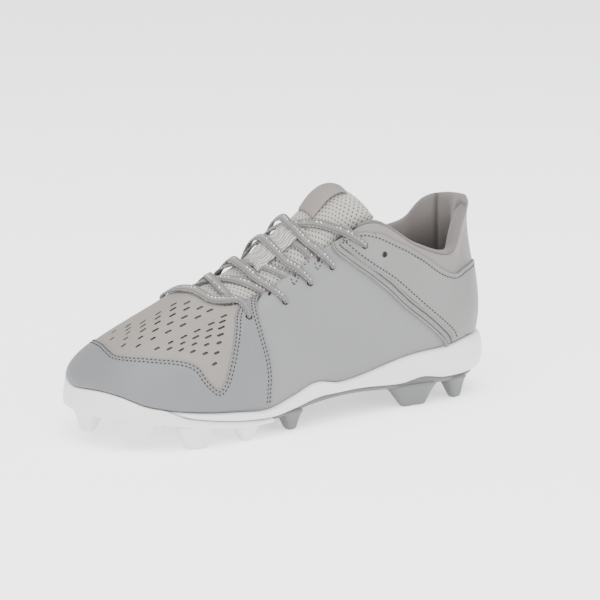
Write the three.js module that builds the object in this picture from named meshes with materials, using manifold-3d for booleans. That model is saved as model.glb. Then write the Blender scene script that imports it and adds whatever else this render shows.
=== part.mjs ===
// Low-cut baseball cleat with moulded studs: a left shoe, men's US 9, standing empty on its studs.
// Millimetres. x runs from heel to toe, y to the outer side of the foot, z up from the ground.
import * as THREE from "three";
import { mergeVertices } from "three/addons/utils/BufferGeometryUtils.js";
import Module from "manifold-3d";

// Driving dimensions
const soleLength = 290;
const ballWidth = 106;
const backHeight = 130; // top of the heel flap above the ground
const rimHeight = 40; // top of the sole's rim at the heel, above the ground
const clearance = 0.3; // gap between pieces that touch

const upperWall = 1.8;
const upperInset = 2.2; // upper's foot, in from the sole's edge
const overlayThickness = 0.9;
const bandThickness = 1.5;
const bandWidth = 6.6;
const weltWidth = 1.2;
const plateThickness = 3;
const rimWidth = 5.5;
const rimBulge = 1.2;
const insoleThickness = 4;
const insoleGap = 1; // between the insole's edge and the upper's inner face
const padThickness = 6.5; // padded collar lining at its fullest
const padRoll = 1.6; // how far the lining's rolled edge stands above the upper
const tongueThickness = 4.5;
const tongueHalfWidth = 25;
const laceWidth = 5.4;
const laceThickness = 2.4;
const eyeletRadius = 2;
const slitDepth = 13;
const slitWidth = 3.6;
const keeperWidth = 12;
const keeperThickness = 1.2;
const keeperFrom = 0.577; // ends of the keeper and of the pull strap, as shares of the length
const keeperTo = 0.494;
const pullWidth = 20;
const pullThickness = 1.6;
const pullFrom = 0.428;
const pullTo = 0.34;
const pullStandOff = 2.2;
const ribDepth = 3; // shank ribs under the waist

const stations = 72; // ribs round the shoe
const ribSteps = 8; // steps up each rib

// Plan outline of the sole: y as a share of half the ball width. turn is 0 at the heel and 180 at the toe.
const outlineTable = [
  { turn: 0, outer: 0, inner: 0 },
  { turn: 15, outer: 0.31, inner: -0.31 },
  { turn: 30, outer: 0.54, inner: -0.54 },
  { turn: 45, outer: 0.65, inner: -0.64 },
  { turn: 60, outer: 0.66, inner: -0.61 },
  { turn: 75, outer: 0.68, inner: -0.56 },
  { turn: 90, outer: 0.77, inner: -0.6 },
  { turn: 105, outer: 0.91, inner: -0.79 },
  { turn: 120, outer: 0.99, inner: -0.96 },
  { turn: 135, outer: 0.91, inner: -0.99 },
  { turn: 150, outer: 0.67, inner: -0.85 },
  { turn: 165, outer: 0.29, inner: -0.52 },
  { turn: 180, outer: -0.12, inner: -0.12 },
];

// Levels of the sole, as shares of the rim height: its rim, the midsole's lower edge, the plate's
// underside, the footbed.
const levelTable = [
  { turn: 0, rim: 1, split: 0.42, plate: 0.32, bed: 0.87 },
  { turn: 30, rim: 1, split: 0.42, plate: 0.32, bed: 0.86 },
  { turn: 45, rim: 0.92, split: 0.42, plate: 0.32, bed: 0.81 },
  { turn: 54, rim: 0.89, split: 0.48, plate: 0.32, bed: 0.78 },
  { turn: 62, rim: 0.83, split: 0.42, plate: 0.33, bed: 0.74 },
  { turn: 75, rim: 0.66, split: 0.46, plate: 0.37, bed: 0.62 },
  { turn: 82, rim: 0.62, split: 0.46, plate: 0.37, bed: 0.57 },
  { turn: 89, rim: 0.69, split: 0.45, plate: 0.34, bed: 0.52 },
  { turn: 97, rim: 0.55, split: 0.36, plate: 0.27, bed: 0.46 },
  { turn: 105, rim: 0.44, split: 0.31, plate: 0.23, bed: 0.41 },
  { turn: 116, rim: 0.5, split: 0.37, plate: 0.26, bed: 0.42 },
  { turn: 125, rim: 0.55, split: 0.45, plate: 0.33, bed: 0.46 },
  { turn: 135, rim: 0.62, split: 0.55, plate: 0.4, bed: 0.52 },
  { turn: 145, rim: 0.7, split: 0.69, plate: 0.44, bed: 0.56 },
  { turn: 155, rim: 0.84, split: 0.82, plate: 0.47, bed: 0.61 },
  { turn: 165, rim: 0.89, split: 0.87, plate: 0.49, bed: 0.65 },
  { turn: 180, rim: 0.86, split: 0.84, plate: 0.5, bed: 0.67 },
];

// Top line of the upper: along is a share of the length, across of half the ball width, height of the
// back height.
// The throat runs further forward on the inner side.
const topLineTable = [
  { turn: 0, outerAlong: 0.02, innerAlong: 0.02, outer: 0, inner: 0, outerHeight: 0.975, innerHeight: 0.975 },
  { turn: 15, outerAlong: 0.035, innerAlong: 0.035, outer: 0.22, inner: -0.22, outerHeight: 0.968,
    innerHeight: 0.968 },
  { turn: 30, outerAlong: 0.071, innerAlong: 0.071, outer: 0.41, inner: -0.41, outerHeight: 0.89,
    innerHeight: 0.94 },
  { turn: 45, outerAlong: 0.124, innerAlong: 0.124, outer: 0.58, inner: -0.57, outerHeight: 0.744,
    innerHeight: 0.83 },
  { turn: 60, outerAlong: 0.219, innerAlong: 0.219, outer: 0.61, inner: -0.6, outerHeight: 0.8,
    innerHeight: 0.817 },
  { turn: 75, outerAlong: 0.321, innerAlong: 0.321, outer: 0.53, inner: -0.51, outerHeight: 0.935,
    innerHeight: 0.951 },
  { turn: 90, outerAlong: 0.409, innerAlong: 0.409, outer: 0.45, inner: -0.45, outerHeight: 0.87,
    innerHeight: 0.885 },
  { turn: 105, outerAlong: 0.515, innerAlong: 0.515, outer: 0.4, inner: -0.42, outerHeight: 0.744,
    innerHeight: 0.76 },
  { turn: 120, outerAlong: 0.602, innerAlong: 0.622, outer: 0.41, inner: -0.44, outerHeight: 0.646,
    innerHeight: 0.675 },
  { turn: 135, outerAlong: 0.675, innerAlong: 0.7, outer: 0.39, inner: -0.42, outerHeight: 0.61,
    innerHeight: 0.635 },
  { turn: 150, outerAlong: 0.712, innerAlong: 0.742, outer: 0.24, inner: -0.33, outerHeight: 0.642,
    innerHeight: 0.63 },
  { turn: 165, outerAlong: 0.726, innerAlong: 0.75, outer: 0.08, inner: -0.2, outerHeight: 0.665,
    innerHeight: 0.645 },
  { turn: 180, outerAlong: 0.738, innerAlong: 0.738, outer: -0.07, inner: -0.07, outerHeight: 0.664,
    innerHeight: 0.664 },
];

// Curve of each rib between the sole and the top line. outerRise, innerRise and drop are shares of the
// rib's height,
// reach of its plan length, swell and lean of half the ball width, outward and inward.
const ribTable = [
  { turn: 0, outerRise: 0.35, innerRise: 0.35, swell: 0.2, reach: 0, lean: 0.02, drop: 0.38 },
  { turn: 15, outerRise: 0.35, innerRise: 0.35, swell: 0.14, reach: 0, lean: 0.1, drop: 0.38 },
  { turn: 30, outerRise: 0.35, innerRise: 0.35, swell: 0.135, reach: 0, lean: 0.14, drop: 0.36 },
  { turn: 45, outerRise: 0.35, innerRise: 0.35, swell: 0.08, reach: 0, lean: 0.06, drop: 0.33 },
  { turn: 60, outerRise: 0.35, innerRise: 0.35, swell: 0.05, reach: 0, lean: 0.03, drop: 0.33 },
  { turn: 75, outerRise: 0.36, innerRise: 0.36, swell: 0.05, reach: 0.25, lean: 0, drop: 0.3 },
  { turn: 90, outerRise: 0.38, innerRise: 0.38, swell: 0.04, reach: 0.35, lean: 0, drop: 0.25 },
  { turn: 105, outerRise: 0.45, innerRise: 0.42, swell: 0.03, reach: 0.42, lean: 0, drop: 0.2 },
  { turn: 120, outerRise: 0.5, innerRise: 0.4, swell: 0.02, reach: 0.44, lean: 0, drop: 0.14 },
  { turn: 135, outerRise: 0.56, innerRise: 0.36, swell: 0.02, reach: 0.42, lean: 0, drop: 0.22 },
  { turn: 150, outerRise: 0.43, innerRise: 0.33, swell: 0.02, reach: 0.36, lean: 0, drop: 0.32 },
  { turn: 165, outerRise: 0.34, innerRise: 0.31, swell: 0.02, reach: 0.4, lean: 0, drop: 0.32 },
  { turn: 180, outerRise: 0.31, innerRise: 0.31, swell: 0.02, reach: 0.41, lean: 0, drop: 0.34 },
];

const wasm = await Module();
wasm.setup();

const halfBall = ballWidth / 2;
const degrees = Math.PI / 180;

// A smooth closed curve through a table's rows, read at any turn. The outer column serves 0 to 180
// degrees and the
// inner one 180 to 360.
function roundTable(rows, outerColumn, innerColumn = outerColumn) {
  const knots = rows.map((row) => ({ turn: row.turn, value: row[outerColumn] }));
  for (const row of rows.slice(1, -1).reverse()) {
    knots.push({ turn: 360 - row.turn, value: row[innerColumn] });
  }
  const count = knots.length;
  const knot = (i) => {
    const lap = Math.floor(i / count);
    const { turn, value } = knots[i - lap * count];
    return { turn: turn + 360 * lap, value };
  };
  const slope = (i) => {
    const [before, after] = [knot(i - 1), knot(i + 1)];
    return (after.value - before.value) / (after.turn - before.turn);
  };
  return (turnAsked) => {
    const turn = ((turnAsked % 360) + 360) % 360;
    let i = 0;
    while (i + 1 < count && knots[i + 1].turn <= turn) i++;
    const [from, to] = [knot(i), knot(i + 1)];
    const span = to.turn - from.turn;
    const s = (turn - from.turn) / span;
    return (
      from.value * (1 + 2 * s) * (1 - s) ** 2 +
      slope(i) * span * s * (1 - s) ** 2 +
      to.value * s * s * (3 - 2 * s) -
      slope(i + 1) * span * s * s * (1 - s)
    );
  };
}

const outlineShare = roundTable(outlineTable, "outer", "inner");
const levels = {};
for (const level of ["rim", "split", "plate", "bed"]) {
  const share = roundTable(levelTable, level);
  levels[level] = (turn) => rimHeight * share(turn);
}
const topAlong = roundTable(topLineTable, "outerAlong", "innerAlong");
const topAcross = roundTable(topLineTable, "outer", "inner");
const topHeight = roundTable(topLineTable, "outerHeight", "innerHeight");
const ribShape = { rise: roundTable(ribTable, "outerRise", "innerRise") };
for (const column of ["swell", "reach", "lean", "drop"]) {
  ribShape[column] = roundTable(ribTable, column);
}

// The sole's edge in plan, and its outward direction.
function outline(turn) {
  return new THREE.Vector2(
    (soleLength / 2) * (1 - Math.cos(turn * degrees)),
    halfBall * outlineShare(turn),
  );
}

function outward(turn) {
  const step = outline(turn + 0.5).sub(outline(turn - 0.5));
  return new THREE.Vector2(-step.y, step.x).normalize();
}

// A point of the sole, inset from its edge, at a height.
function solePoint(turn, inset, z) {
  const p = outline(turn).addScaledVector(outward(turn), -inset);
  return new THREE.Vector3(p.x, p.y, z);
}

// A point of the upper's outer face: turn goes round the shoe, v from 0 at the sole to 1 at the top
// line. Each rib is
// a cubic curve, and above 1 it runs straight on.
function ribPoint(turn, v) {
  const foot = solePoint(turn, upperInset, levels.rim(turn) + clearance);
  const top = new THREE.Vector3(
    soleLength * topAlong(turn),
    halfBall * topAcross(turn),
    backHeight * topHeight(turn),
  );
  const out = outward(turn);
  const height = top.z - foot.z;
  const low = foot.clone();
  low.x += out.x * ribShape.swell(turn) * halfBall;
  low.y += out.y * ribShape.swell(turn) * halfBall;
  low.z += ribShape.rise(turn) * height;
  const high = top.clone();
  const reach = ribShape.reach(turn);
  high.x += (foot.x - top.x) * reach - out.x * ribShape.lean(turn) * halfBall;
  high.y += (foot.y - top.y) * reach - out.y * ribShape.lean(turn) * halfBall;
  high.z -= ribShape.drop(turn) * height;
  const curve = new THREE.CubicBezierCurve3(foot, low, high, top);
  if (v <= 1) return curve.getPoint(v);
  return top.clone().addScaledVector(top.clone().sub(high), 3 * (v - 1));
}

function ribNormal(turn, v) {
  const at = Math.min(v, 0.99);
  const round = ribPoint(turn + 0.5, at).sub(ribPoint(turn - 0.5, at));
  const up = ribPoint(turn, at + 0.01).sub(ribPoint(turn, Math.max(at - 0.01, 0)));
  return up.cross(round).normalize();
}

// The upper's face moved out (or, below 0, in) by an offset.
function upperPoint(turn, v, offset = 0) {
  return ribPoint(turn, v).addScaledVector(ribNormal(turn, v), offset);
}

// Closed solids from rings of points. Each ring is a loop of an even number of points, and a ring at
// an open end is
// capped by strips between its two halves.
function ringSolid(rings, closed = false) {
  const size = rings[0].length;
  const index = [];
  const at = (ring, k) => (ring % rings.length) * size + (k % size);
  const quad = (a, b, c, d) => index.push(a, b, c, a, c, d);
  const last = closed ? rings.length : rings.length - 1;
  for (let ring = 0; ring < last; ring++) {
    for (let k = 0; k < size; k++) {
      quad(at(ring, k), at(ring, k + 1), at(ring + 1, k + 1), at(ring + 1, k));
    }
  }
  if (!closed) {
    for (let k = 0; k < size / 2 - 1; k++) {
      const mirror = size - 1 - k;
      quad(at(0, k), at(0, mirror), at(0, mirror - 1), at(0, k + 1));
      const end = rings.length - 1;
      quad(at(end, k), at(end, k + 1), at(end, mirror - 1), at(end, mirror));
    }
  }
  const geometry = new THREE.BufferGeometry().setFromPoints(rings.flat());
  geometry.setIndex(index);
  return solidOf(geometry);
}

// A closed three.js geometry as a manifold solid, its faces turned outward and its empty triangles left out.
function solidOf(geometry) {
  const plain = new THREE.BufferGeometry().setAttribute("position", geometry.getAttribute("position"));
  if (geometry.index) plain.setIndex(geometry.index);
  const merged = mergeVertices(plain, 1e-4);
  const corners = merged.attributes.position;
  const triangles = [];
  let volume = 0;
  const [a, b, c] = [new THREE.Vector3(), new THREE.Vector3(), new THREE.Vector3()];
  for (let i = 0; i < merged.index.count; i += 3) {
    const triangle = [0, 1, 2].map((k) => merged.index.getX(i + k));
    if (new Set(triangle).size < 3) continue;
    [a, b, c].forEach((point, k) => point.fromBufferAttribute(corners, triangle[k]));
    volume += a.dot(b.cross(c)) / 6;
    triangles.push(triangle);
  }
  if (volume < 0) triangles.forEach((triangle) => triangle.reverse());
  return new wasm.Manifold(
    new wasm.Mesh({
      numProp: 3,
      vertProperties: corners.array,
      triVerts: new Uint32Array(triangles.flat()),
    }),
  );
}

function geometryOf(solid) {
  const mesh = solid.getMesh();
  const geometry = new THREE.BufferGeometry();
  geometry.setAttribute("position", new THREE.BufferAttribute(new Float32Array(mesh.vertProperties), 3));
  geometry.setIndex(Array.from(mesh.triVerts));
  geometry.computeVertexNormals();
  return geometry;
}

// The largest body of a solid, without the slivers that a cut leaves.
function largest(solid) {
  return solid.decompose().reduce((most, piece) => (piece.volume() > most.volume() ? piece : most));
}

// A box between two corners, as a cutting or clipping form.
function block(low, high) {
  const size = new THREE.Vector3().subVectors(high, low);
  const geometry = new THREE.BoxGeometry(size.x, size.y, size.z);
  const middle = new THREE.Vector3().addVectors(low, high).multiplyScalar(0.5);
  return solidOf(geometry.translate(middle.x, middle.y, middle.z));
}

// Loops round the sole, each with an inset and a height that may depend on the turn.
function soleForm(loops, count = stations) {
  return ringSolid(
    loops.map(({ inset, z }) =>
      Array.from({ length: count }, (_, k) => {
        const turn = ((k + 0.5) * 360) / count;
        return solePoint(turn, inset, z(turn));
      }),
    ),
  );
}

// Midsole and outsole

const outsoleSplit = 0.62 * soleLength; // where the pale front plate meets the grey rear one
const midsoleEnd = 0.885 * soleLength;
const bedInset = 13;
const plateTop = (turn) => levels.plate(turn) + plateThickness;

function slab(from, to) {
  return block(new THREE.Vector3(from, -ballWidth, -10), new THREE.Vector3(to, ballWidth, backHeight));
}

function midsole() {
  const middle = (turn) => (levels.rim(turn) + levels.split(turn)) / 2;
  const form = soleForm([
    { inset: bedInset, z: levels.bed },
    { inset: rimWidth, z: levels.rim },
    { inset: 0.6, z: levels.rim },
    { inset: -rimBulge, z: middle },
    { inset: 0.6, z: levels.split },
    { inset: bedInset, z: (turn) => plateTop(turn) + clearance },
  ]);
  return form.intersect(slab(-20, midsoleEnd));
}

// What lies above the outsole's upper face: it clears the midsole and its edge.
function aboveOutsole() {
  const ceiling = () => 2 * rimHeight;
  const under = (turn) => levels.split(turn) - clearance;
  return soleForm([
    { inset: bedInset, z: ceiling },
    { inset: -8, z: ceiling },
    { inset: -8, z: under },
    { inset: 0.6, z: under },
    { inset: bedInset, z: plateTop },
  ]).intersect(slab(-20, midsoleEnd + clearance));
}

function outsoleForm(edge) {
  const low = (turn) => levels.plate(turn) + 1.5;
  const middle = (turn) => (levels.rim(turn) + levels.plate(turn)) / 2;
  return soleForm([
    { inset: bedInset, z: levels.bed },
    { inset: rimWidth, z: levels.rim },
    { inset: 0.6, z: levels.rim },
    { inset: edge, z: middle },
    { inset: edge + 0.6, z: low },
    { inset: edge + 2.4, z: levels.plate },
    { inset: bedInset, z: levels.plate },
  ]);
}

// Studs, each a tapered block with cut corners. inset is from the sole's edge to the root's outer
// face; lengths run
// along the edge, widths across it, and foot is the height of the tip above the ground.
const frontStuds = [
  { turn: 175, inset: 1, root: 20, rootWidth: 13, tip: 10, tipWidth: 6, foot: 7.5 },
  { turn: 149.5, inset: 1, root: 27, rootWidth: 15, tip: 14, tipWidth: 6.5, foot: 4.5 },
  { turn: 128, inset: 1, root: 23, rootWidth: 15, tip: 13, tipWidth: 6.5, foot: 0 },
  { turn: 111, inset: 1, root: 17, rootWidth: 13, tip: 6.5, tipWidth: 6, foot: 0 },
  { turn: 199, inset: 9, root: 17, rootWidth: 13, tip: 9, tipWidth: 6, foot: 9.5 },
  { turn: 220, inset: 3, root: 22, rootWidth: 14, tip: 12, tipWidth: 6.5, foot: 6 },
  { turn: 241, inset: 1, root: 23, rootWidth: 15, tip: 12, tipWidth: 6.5, foot: 0 },
  { turn: 251, inset: 1, root: 16, rootWidth: 13, tip: 7, tipWidth: 6, foot: 0 },
  { turn: 132, inset: 44, root: 17, rootWidth: 13, tip: 8, tipWidth: 6, foot: 3.2 },
  { turn: 115, inset: 41, root: 17, rootWidth: 13, tip: 8, tipWidth: 6, foot: 1 },
];
const rearStuds = [
  { turn: 96, inset: 2, root: 15, rootWidth: 13, tip: 6.5, tipWidth: 6, foot: 0 },
  { turn: 56, inset: 1.5, root: 34, rootWidth: 15, tip: 18, tipWidth: 6.5, foot: 0, groove: 3 },
  { turn: 35, inset: 2, root: 16, rootWidth: 14, tip: 7.5, tipWidth: 6, foot: 0 },
  { turn: 264, inset: 2, root: 15, rootWidth: 13, tip: 7, tipWidth: 6, foot: 0 },
  { turn: 305, inset: 1.5, root: 32, rootWidth: 15, tip: 17, tipWidth: 6.5, foot: 0, groove: 3 },
  { turn: 325, inset: 2, root: 16, rootWidth: 14, tip: 7.5, tipWidth: 6, foot: 0 },
];

// Corners of an eight-sided plan: a rectangle along the edge with its corners cut.
function studSection(centre, along, inward, length, width, z) {
  const [a, b, cut] = [length / 2, width / 2, Math.min(length, width) * 0.22];
  const corners = [
    [a, b - cut],
    [a - cut, b],
    [-a + cut, b],
    [-a, b - cut],
    [-a, -b + cut],
    [-a + cut, -b],
    [a - cut, -b],
    [a, -b + cut],
  ];
  return corners.map(([p, q]) => {
    const spot = centre.clone().addScaledVector(along, p).addScaledVector(inward, q);
    return new THREE.Vector3(spot.x, spot.y, z);
  });
}

function stud({ turn, inset, root, rootWidth, tip, tipWidth, foot, groove = 0 }) {
  const inward = outward(turn).negate();
  const along = new THREE.Vector2(-inward.y, inward.x);
  const edge = outline(turn).addScaledVector(inward, inset);
  const rootCentre = edge.clone().addScaledVector(inward, rootWidth / 2);
  const tipCentre = edge.clone().addScaledVector(inward, tipWidth / 2 + 1.8);
  const top = levels.plate(turn) + 2;
  const body = ringSolid([
    studSection(rootCentre, along, inward, root, rootWidth, top),
    studSection(rootCentre, along, inward, root - 2, rootWidth - 1, levels.plate(turn) - 0.5),
    studSection(tipCentre, along, inward, tip, tipWidth, foot),
  ]);
  if (!groove) return body;
  const cutter = new THREE.BoxGeometry(groove, 4 * rootWidth, 3);
  cutter.rotateZ(Math.atan2(along.y, along.x));
  cutter.translate(tipCentre.x, tipCentre.y, foot);
  return body.subtract(solidOf(cutter));
}

// Two long ribs that stiffen the rear plate under the arch.
function shankRib(across) {
  const rows = [
    { along: 0.27, width: 5, turn: 64 },
    { along: 0.4, width: 9, turn: 78 },
    { along: 0.5, width: 9, turn: 90 },
    { along: 0.575, width: 6, turn: 98 },
  ];
  return ringSolid(
    rows.map(({ along, width, turn }) => {
      const x = soleLength * along;
      const base = levels.plate(turn) + 1;
      const half = width / 2;
      return [
        new THREE.Vector3(x, across - half, base),
        new THREE.Vector3(x, across - half / 2, base - 1 - ribDepth),
        new THREE.Vector3(x, across + half / 2, base - 1 - ribDepth),
        new THREE.Vector3(x, across + half, base),
      ];
    }),
  );
}

function outsoleFront() {
  let solid = outsoleForm(-rimBulge);
  for (const row of frontStuds) solid = solid.add(stud(row));
  return solid.subtract(aboveOutsole()).intersect(slab(outsoleSplit + clearance, 2 * soleLength));
}

function outsoleRear() {
  let solid = outsoleForm(0.8);
  for (const row of rearStuds) solid = solid.add(stud(row));
  for (const across of [-0.22, 0.26]) solid = solid.add(shankRib(across * halfBall));
  return solid.subtract(aboveOutsole()).intersect(slab(-20, outsoleSplit));
}

// Insole: a thin tray liner on the footbed.
function insole() {
  const inset = upperInset + upperWall + insoleGap + 4;
  const under = (turn) => levels.bed(turn) + 3 * clearance;
  const lift = (turn) => ((bedInset - inset) / (bedInset - rimWidth)) * (levels.rim(turn) - levels.bed(turn));
  const edge = (turn) => under(turn) + lift(turn);
  return soleForm(
    [
      { inset: bedInset, z: under },
      { inset, z: edge },
      { inset: inset + 0.4, z: (turn) => edge(turn) + insoleThickness * 0.8 },
      { inset: bedInset, z: (turn) => under(turn) + insoleThickness },
    ],
    64,
  );
}

// Upper

// Eyelets on each side: the turn of their rib and how far up it they lie. The sixth pair isn't laced.
const eyelets = [
  { outer: { turn: 118.5, v: 0.705 }, inner: { turn: -136, v: 0.82 } },
  { outer: { turn: 104.5, v: 0.7 }, inner: { turn: -118, v: 0.76 } },
  { outer: { turn: 96.8, v: 0.742 }, inner: { turn: -105, v: 0.75 } },
  { outer: { turn: 89.7, v: 0.772 }, inner: { turn: -96, v: 0.77 } },
  { outer: { turn: 78.5, v: 0.847 }, inner: { turn: -84, v: 0.83 } },
  { outer: { turn: 71.2, v: 0.8 }, inner: { turn: -75, v: 0.82 } },
];

// Flex slits in the throat's edge, between the eyelets: where each ends, and where it opens.
const slits = [
  { tip: 112.8, mouth: 114.4 },
  { tip: 103, mouth: 105 },
  { tip: 95.3, mouth: 96.5 },
  { tip: -127, mouth: -128.5 },
  { tip: -111, mouth: -112.5 },
  { tip: -100.5, mouth: -102 },
];

// A short rod through the upper's wall, along its normal.
function eyeletBore(turn, v) {
  const depth = 8;
  const rod = new THREE.CylinderGeometry(eyeletRadius, eyeletRadius, 2 * depth, 8);
  const turned = new THREE.Quaternion().setFromUnitVectors(new THREE.Vector3(0, 1, 0), ribNormal(turn, v));
  const at = ribPoint(turn, v);
  return solidOf(rod.applyQuaternion(turned).translate(at.x, at.y, at.z));
}

function slit({ tip, mouth }) {
  const share = slitDepth / ribPoint(tip, 0).distanceTo(ribPoint(tip, 1));
  const perDegree = ribPoint(mouth + 0.5, 1).distanceTo(ribPoint(mouth - 0.5, 1));
  const rows = [
    { v: 1 - share, turn: tip, width: 0.5 },
    { v: 1 - 0.8 * share, turn: tip + (mouth - tip) * 0.2, width: 0.7 },
    { v: 1.06, turn: mouth, width: 1 },
  ];
  const cut = 4;
  return ringSolid(
    rows.map(({ v, turn, width }) => {
      const half = (width * slitWidth) / 2 / perDegree;
      return [
        upperPoint(turn - half, v, cut),
        upperPoint(turn + half, v, cut),
        upperPoint(turn + half, v, -cut),
        upperPoint(turn - half, v, -cut),
      ];
    }),
  );
}

// The upper's wall between two offsets from its outer face, on the upper's own ribs. over is how far
// its top runs on
// past the top line, as a share of the ribs.
function wall(low, high, over = 0) {
  return ringSolid(
    Array.from({ length: stations }, (_, k) => {
      const turn = ((k + 0.5) * 360) / stations;
      const steps = Array.from({ length: ribSteps + 1 }, (__,
        i) => (i === ribSteps ? 1 + over : i / ribSteps));
      const outside = steps.map((v) => upperPoint(turn, v, high));
      const inside = steps.map((v) => upperPoint(turn, v, low)).reverse();
      return [...outside, ...inside];
    }),
    true,
  );
}

function pierced(solid) {
  for (const { outer, inner } of eyelets) {
    solid = solid.subtract(eyeletBore(outer.turn, outer.v)).subtract(eyeletBore(inner.turn, inner.v));
  }
  for (const row of slits) solid = solid.subtract(slit(row));
  return solid;
}

const upper = () => pierced(wall(-upperWall, 0));

// Overlays: patches of the upper's face, less the upper itself and a clearance. A patch's edges are lines of
// [turn, v], and its inside is a Coons blend of the four.
function along(line, shareAsked) {
  const share = Math.min(Math.max(shareAsked, 0), 1);
  const lengths = line.slice(1).map(([turn, v], i) => Math.hypot(turn - line[i][0], 40 * (v - line[i][1])));
  let left = share * lengths.reduce((sum, length) => sum + length, 0);
  let i = 0;
  while (i < lengths.length - 1 && left > lengths[i]) left -= lengths[i++];
  const s = Math.min(left / lengths[i], 1);
  return [0, 1].map((axis) => line[i][axis] + (line[i + 1][axis] - line[i][axis]) * s);
}

function patch({ bottom, top, left, right }, columns, steps) {
  const blend = (q, share) => {
    const [low, high] = [along(bottom, q), along(top, q)];
    const [near, far] = [along(left, share), along(right, share)];
    return [0, 1].map((axis) => {
      const across = low[axis] * (1 - share) + high[axis] * share;
      const round = near[axis] * (1 - q) + far[axis] * q;
      const first = bottom[0][axis] * (1 - share) + top[0][axis] * share;
      const last = bottom.at(-1)[axis] * (1 - share) + top.at(-1)[axis] * share;
      return across + round - first * (1 - q) - last * q;
    });
  };
  return ringSolid(
    Array.from({ length: columns + 1 }, (_, k) => {
      const cells = Array.from({ length: steps + 1 }, (__, i) => blend(k / columns, i / steps));
      const outside = cells.map(([turn, v]) => upperPoint(turn, v, clearance + overlayThickness));
      const inside = cells.map(([turn, v]) => upperPoint(turn, v, -1)).reverse();
      return [...outside, ...inside];
    }),
  );
}

const mirrored = (line) => line.map(([turn, v]) => [-turn, v]);
const whole = (line) => [...line, ...mirrored(line).reverse().slice(1)];
const overlayFoot = 0.02;
const overlayHead = 0.985;

// Toe guard: its seam over the toe, and the pointed wing that climbs from each end of it to the first eyelet.
const toeSeam = [
  [121.9, 0.15],
  [127.3, 0.265],
  [133.2, 0.335],
  [141.3, 0.379],
  [154.9, 0.372],
  [165.5, 0.345],
  [180, 0.39],
  [194.5, 0.36],
  [204, 0.37],
  [213, 0.35],
  [219, 0.27],
  [224, 0.15],
];
const wingFront = [
  [121.9, overlayFoot],
  [121.9, 0.15],
  [119.9, 0.3],
  [119.1, 0.43],
  [121.5, 0.6],
  [125.9, 0.82],
  [128, overlayHead],
];
const wingRear = [
  [104.3, overlayFoot],
  [104.6, 0.2],
  [106, 0.31],
  [108.8, 0.445],
  [118, 0.86],
  [119.7, overlayHead],
];
const innerWingFront = [
  [224, overlayFoot],
  [224, 0.15],
  [226, 0.3],
  [225.5, 0.45],
  [221, 0.65],
  [216, 0.84],
  [213, overlayHead],
];
const innerWingRear = [
  [246, overlayFoot],
  [244.5, 0.25],
  [241, 0.45],
  [234, 0.75],
  [231, 0.88],
  [229.5, overlayHead],
];
// Seam between the ankle panel and the side band, and the ankle panel's folded top edge.
const ankleFront = [
  [40.3, overlayFoot],
  [41.2, 0.076],
  [45.7, 0.208],
  [53.6, 0.389],
  [61.4, 0.542],
  [66.7, 0.617],
  [74.2, 0.681],
  [81.4, 0.784],
  [87.3, 0.91],
  [90, overlayHead],
];
const ankleTop = [
  [90, overlayHead],
  [80, 0.94],
  [74.9, 0.905],
  [68.7, 0.898],
  [62.7, 0.92],
  [57.2, 0.898],
  [51, 0.82],
  [45, 0.751],
  [34.7, 0.618],
  [17, 0.54],
  [0, 0.52],
];

const core = () => wall(-3, clearance);

function toeGuard() {
  const bottom = [
    [117, overlayFoot],
    [229, overlayFoot],
  ];
  const toe = { bottom, top: toeSeam, left: [bottom[0], toeSeam[0]], right: [bottom[1], toeSeam.at(-1)] };
  const wing = (rear, front) =>
    patch({ bottom: [rear[0], front[0]], top: [rear.at(-1), front.at(-1)], left: rear, right: front }, 4, 10);
  const cover = patch(toe, 32, 4).add(wing(wingRear, wingFront)).add(wing(innerWingFront, innerWingRear));
  return largest(pierced(cover.subtract(core())));
}

function anklePanel() {
  const foot = [
    [40.3, overlayFoot],
    [0, overlayFoot],
  ];
  const edges = {
    bottom: whole(foot),
    top: whole(ankleTop),
    left: ankleFront,
    right: mirrored(ankleFront),
  };
  let solid = pierced(patch(edges, 24, 8).subtract(core()));
  for (const side of [1, -1]) solid = solid.subtract(bandRoom(side));
  return largest(solid);
}

// Raised band down each side in front of the ankle panel, with a welt along both edges. side is 1
// outside, -1 inside.
const bandLine = [
  [90.6, overlayHead],
  [89.4, 0.925],
  [81.8, 0.765],
  [73, 0.64],
  [68.2, 0.585],
  [60.6, 0.46],
  [54.6, 0.35],
  [48.2, 0.2],
  [44, 0.08],
  [42.8, overlayFoot],
];

// profile gives the strip's cross-section, as [distance from its front edge, height above the upper].
function bandStrip(side, profile) {
  const rows = 14;
  return ringSolid(
    Array.from({ length: rows + 1 }, (_, k) => {
      const [turn, v] = along(bandLine, k / rows);
      const [before, after] = [along(bandLine, (k - 0.4) / rows), along(bandLine, (k + 0.4) / rows)];
      const way = upperPoint(side * after[0], after[1]).sub(upperPoint(side * before[0], before[1]));
      const normal = ribNormal(side * turn, v);
      const rearward = new THREE.Vector3().crossVectors(way, normal).normalize().multiplyScalar(side);
      return profile.map(([shift, lift]) =>
        upperPoint(side * turn, v)
          .addScaledVector(rearward, shift - bandWidth / 2)
          .addScaledVector(normal, lift),
      );
    }),
  );
}

function bandRoom(side) {
  return bandStrip(side, [
    [-clearance, 4],
    [bandWidth + clearance, 4],
    [bandWidth + clearance, -1],
    [-clearance, -1],
  ]);
}

function sideBand(side) {
  const [low, high] = [clearance + bandThickness * 0.5, clearance + bandThickness];
  const [front, rear] = [weltWidth, bandWidth - weltWidth];
  const section = [
    [0, high],
    [front, high],
    [front + 0.4, low],
    [rear - 0.4, low],
    [rear, high],
    [bandWidth, high],
    [bandWidth, -1],
    [rear, -1],
    [rear - 0.4, -1],
    [front + 0.4, -1],
    [front, -1],
    [0, -1],
  ];
  return largest(bandStrip(side, section).subtract(core()));
}

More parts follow.
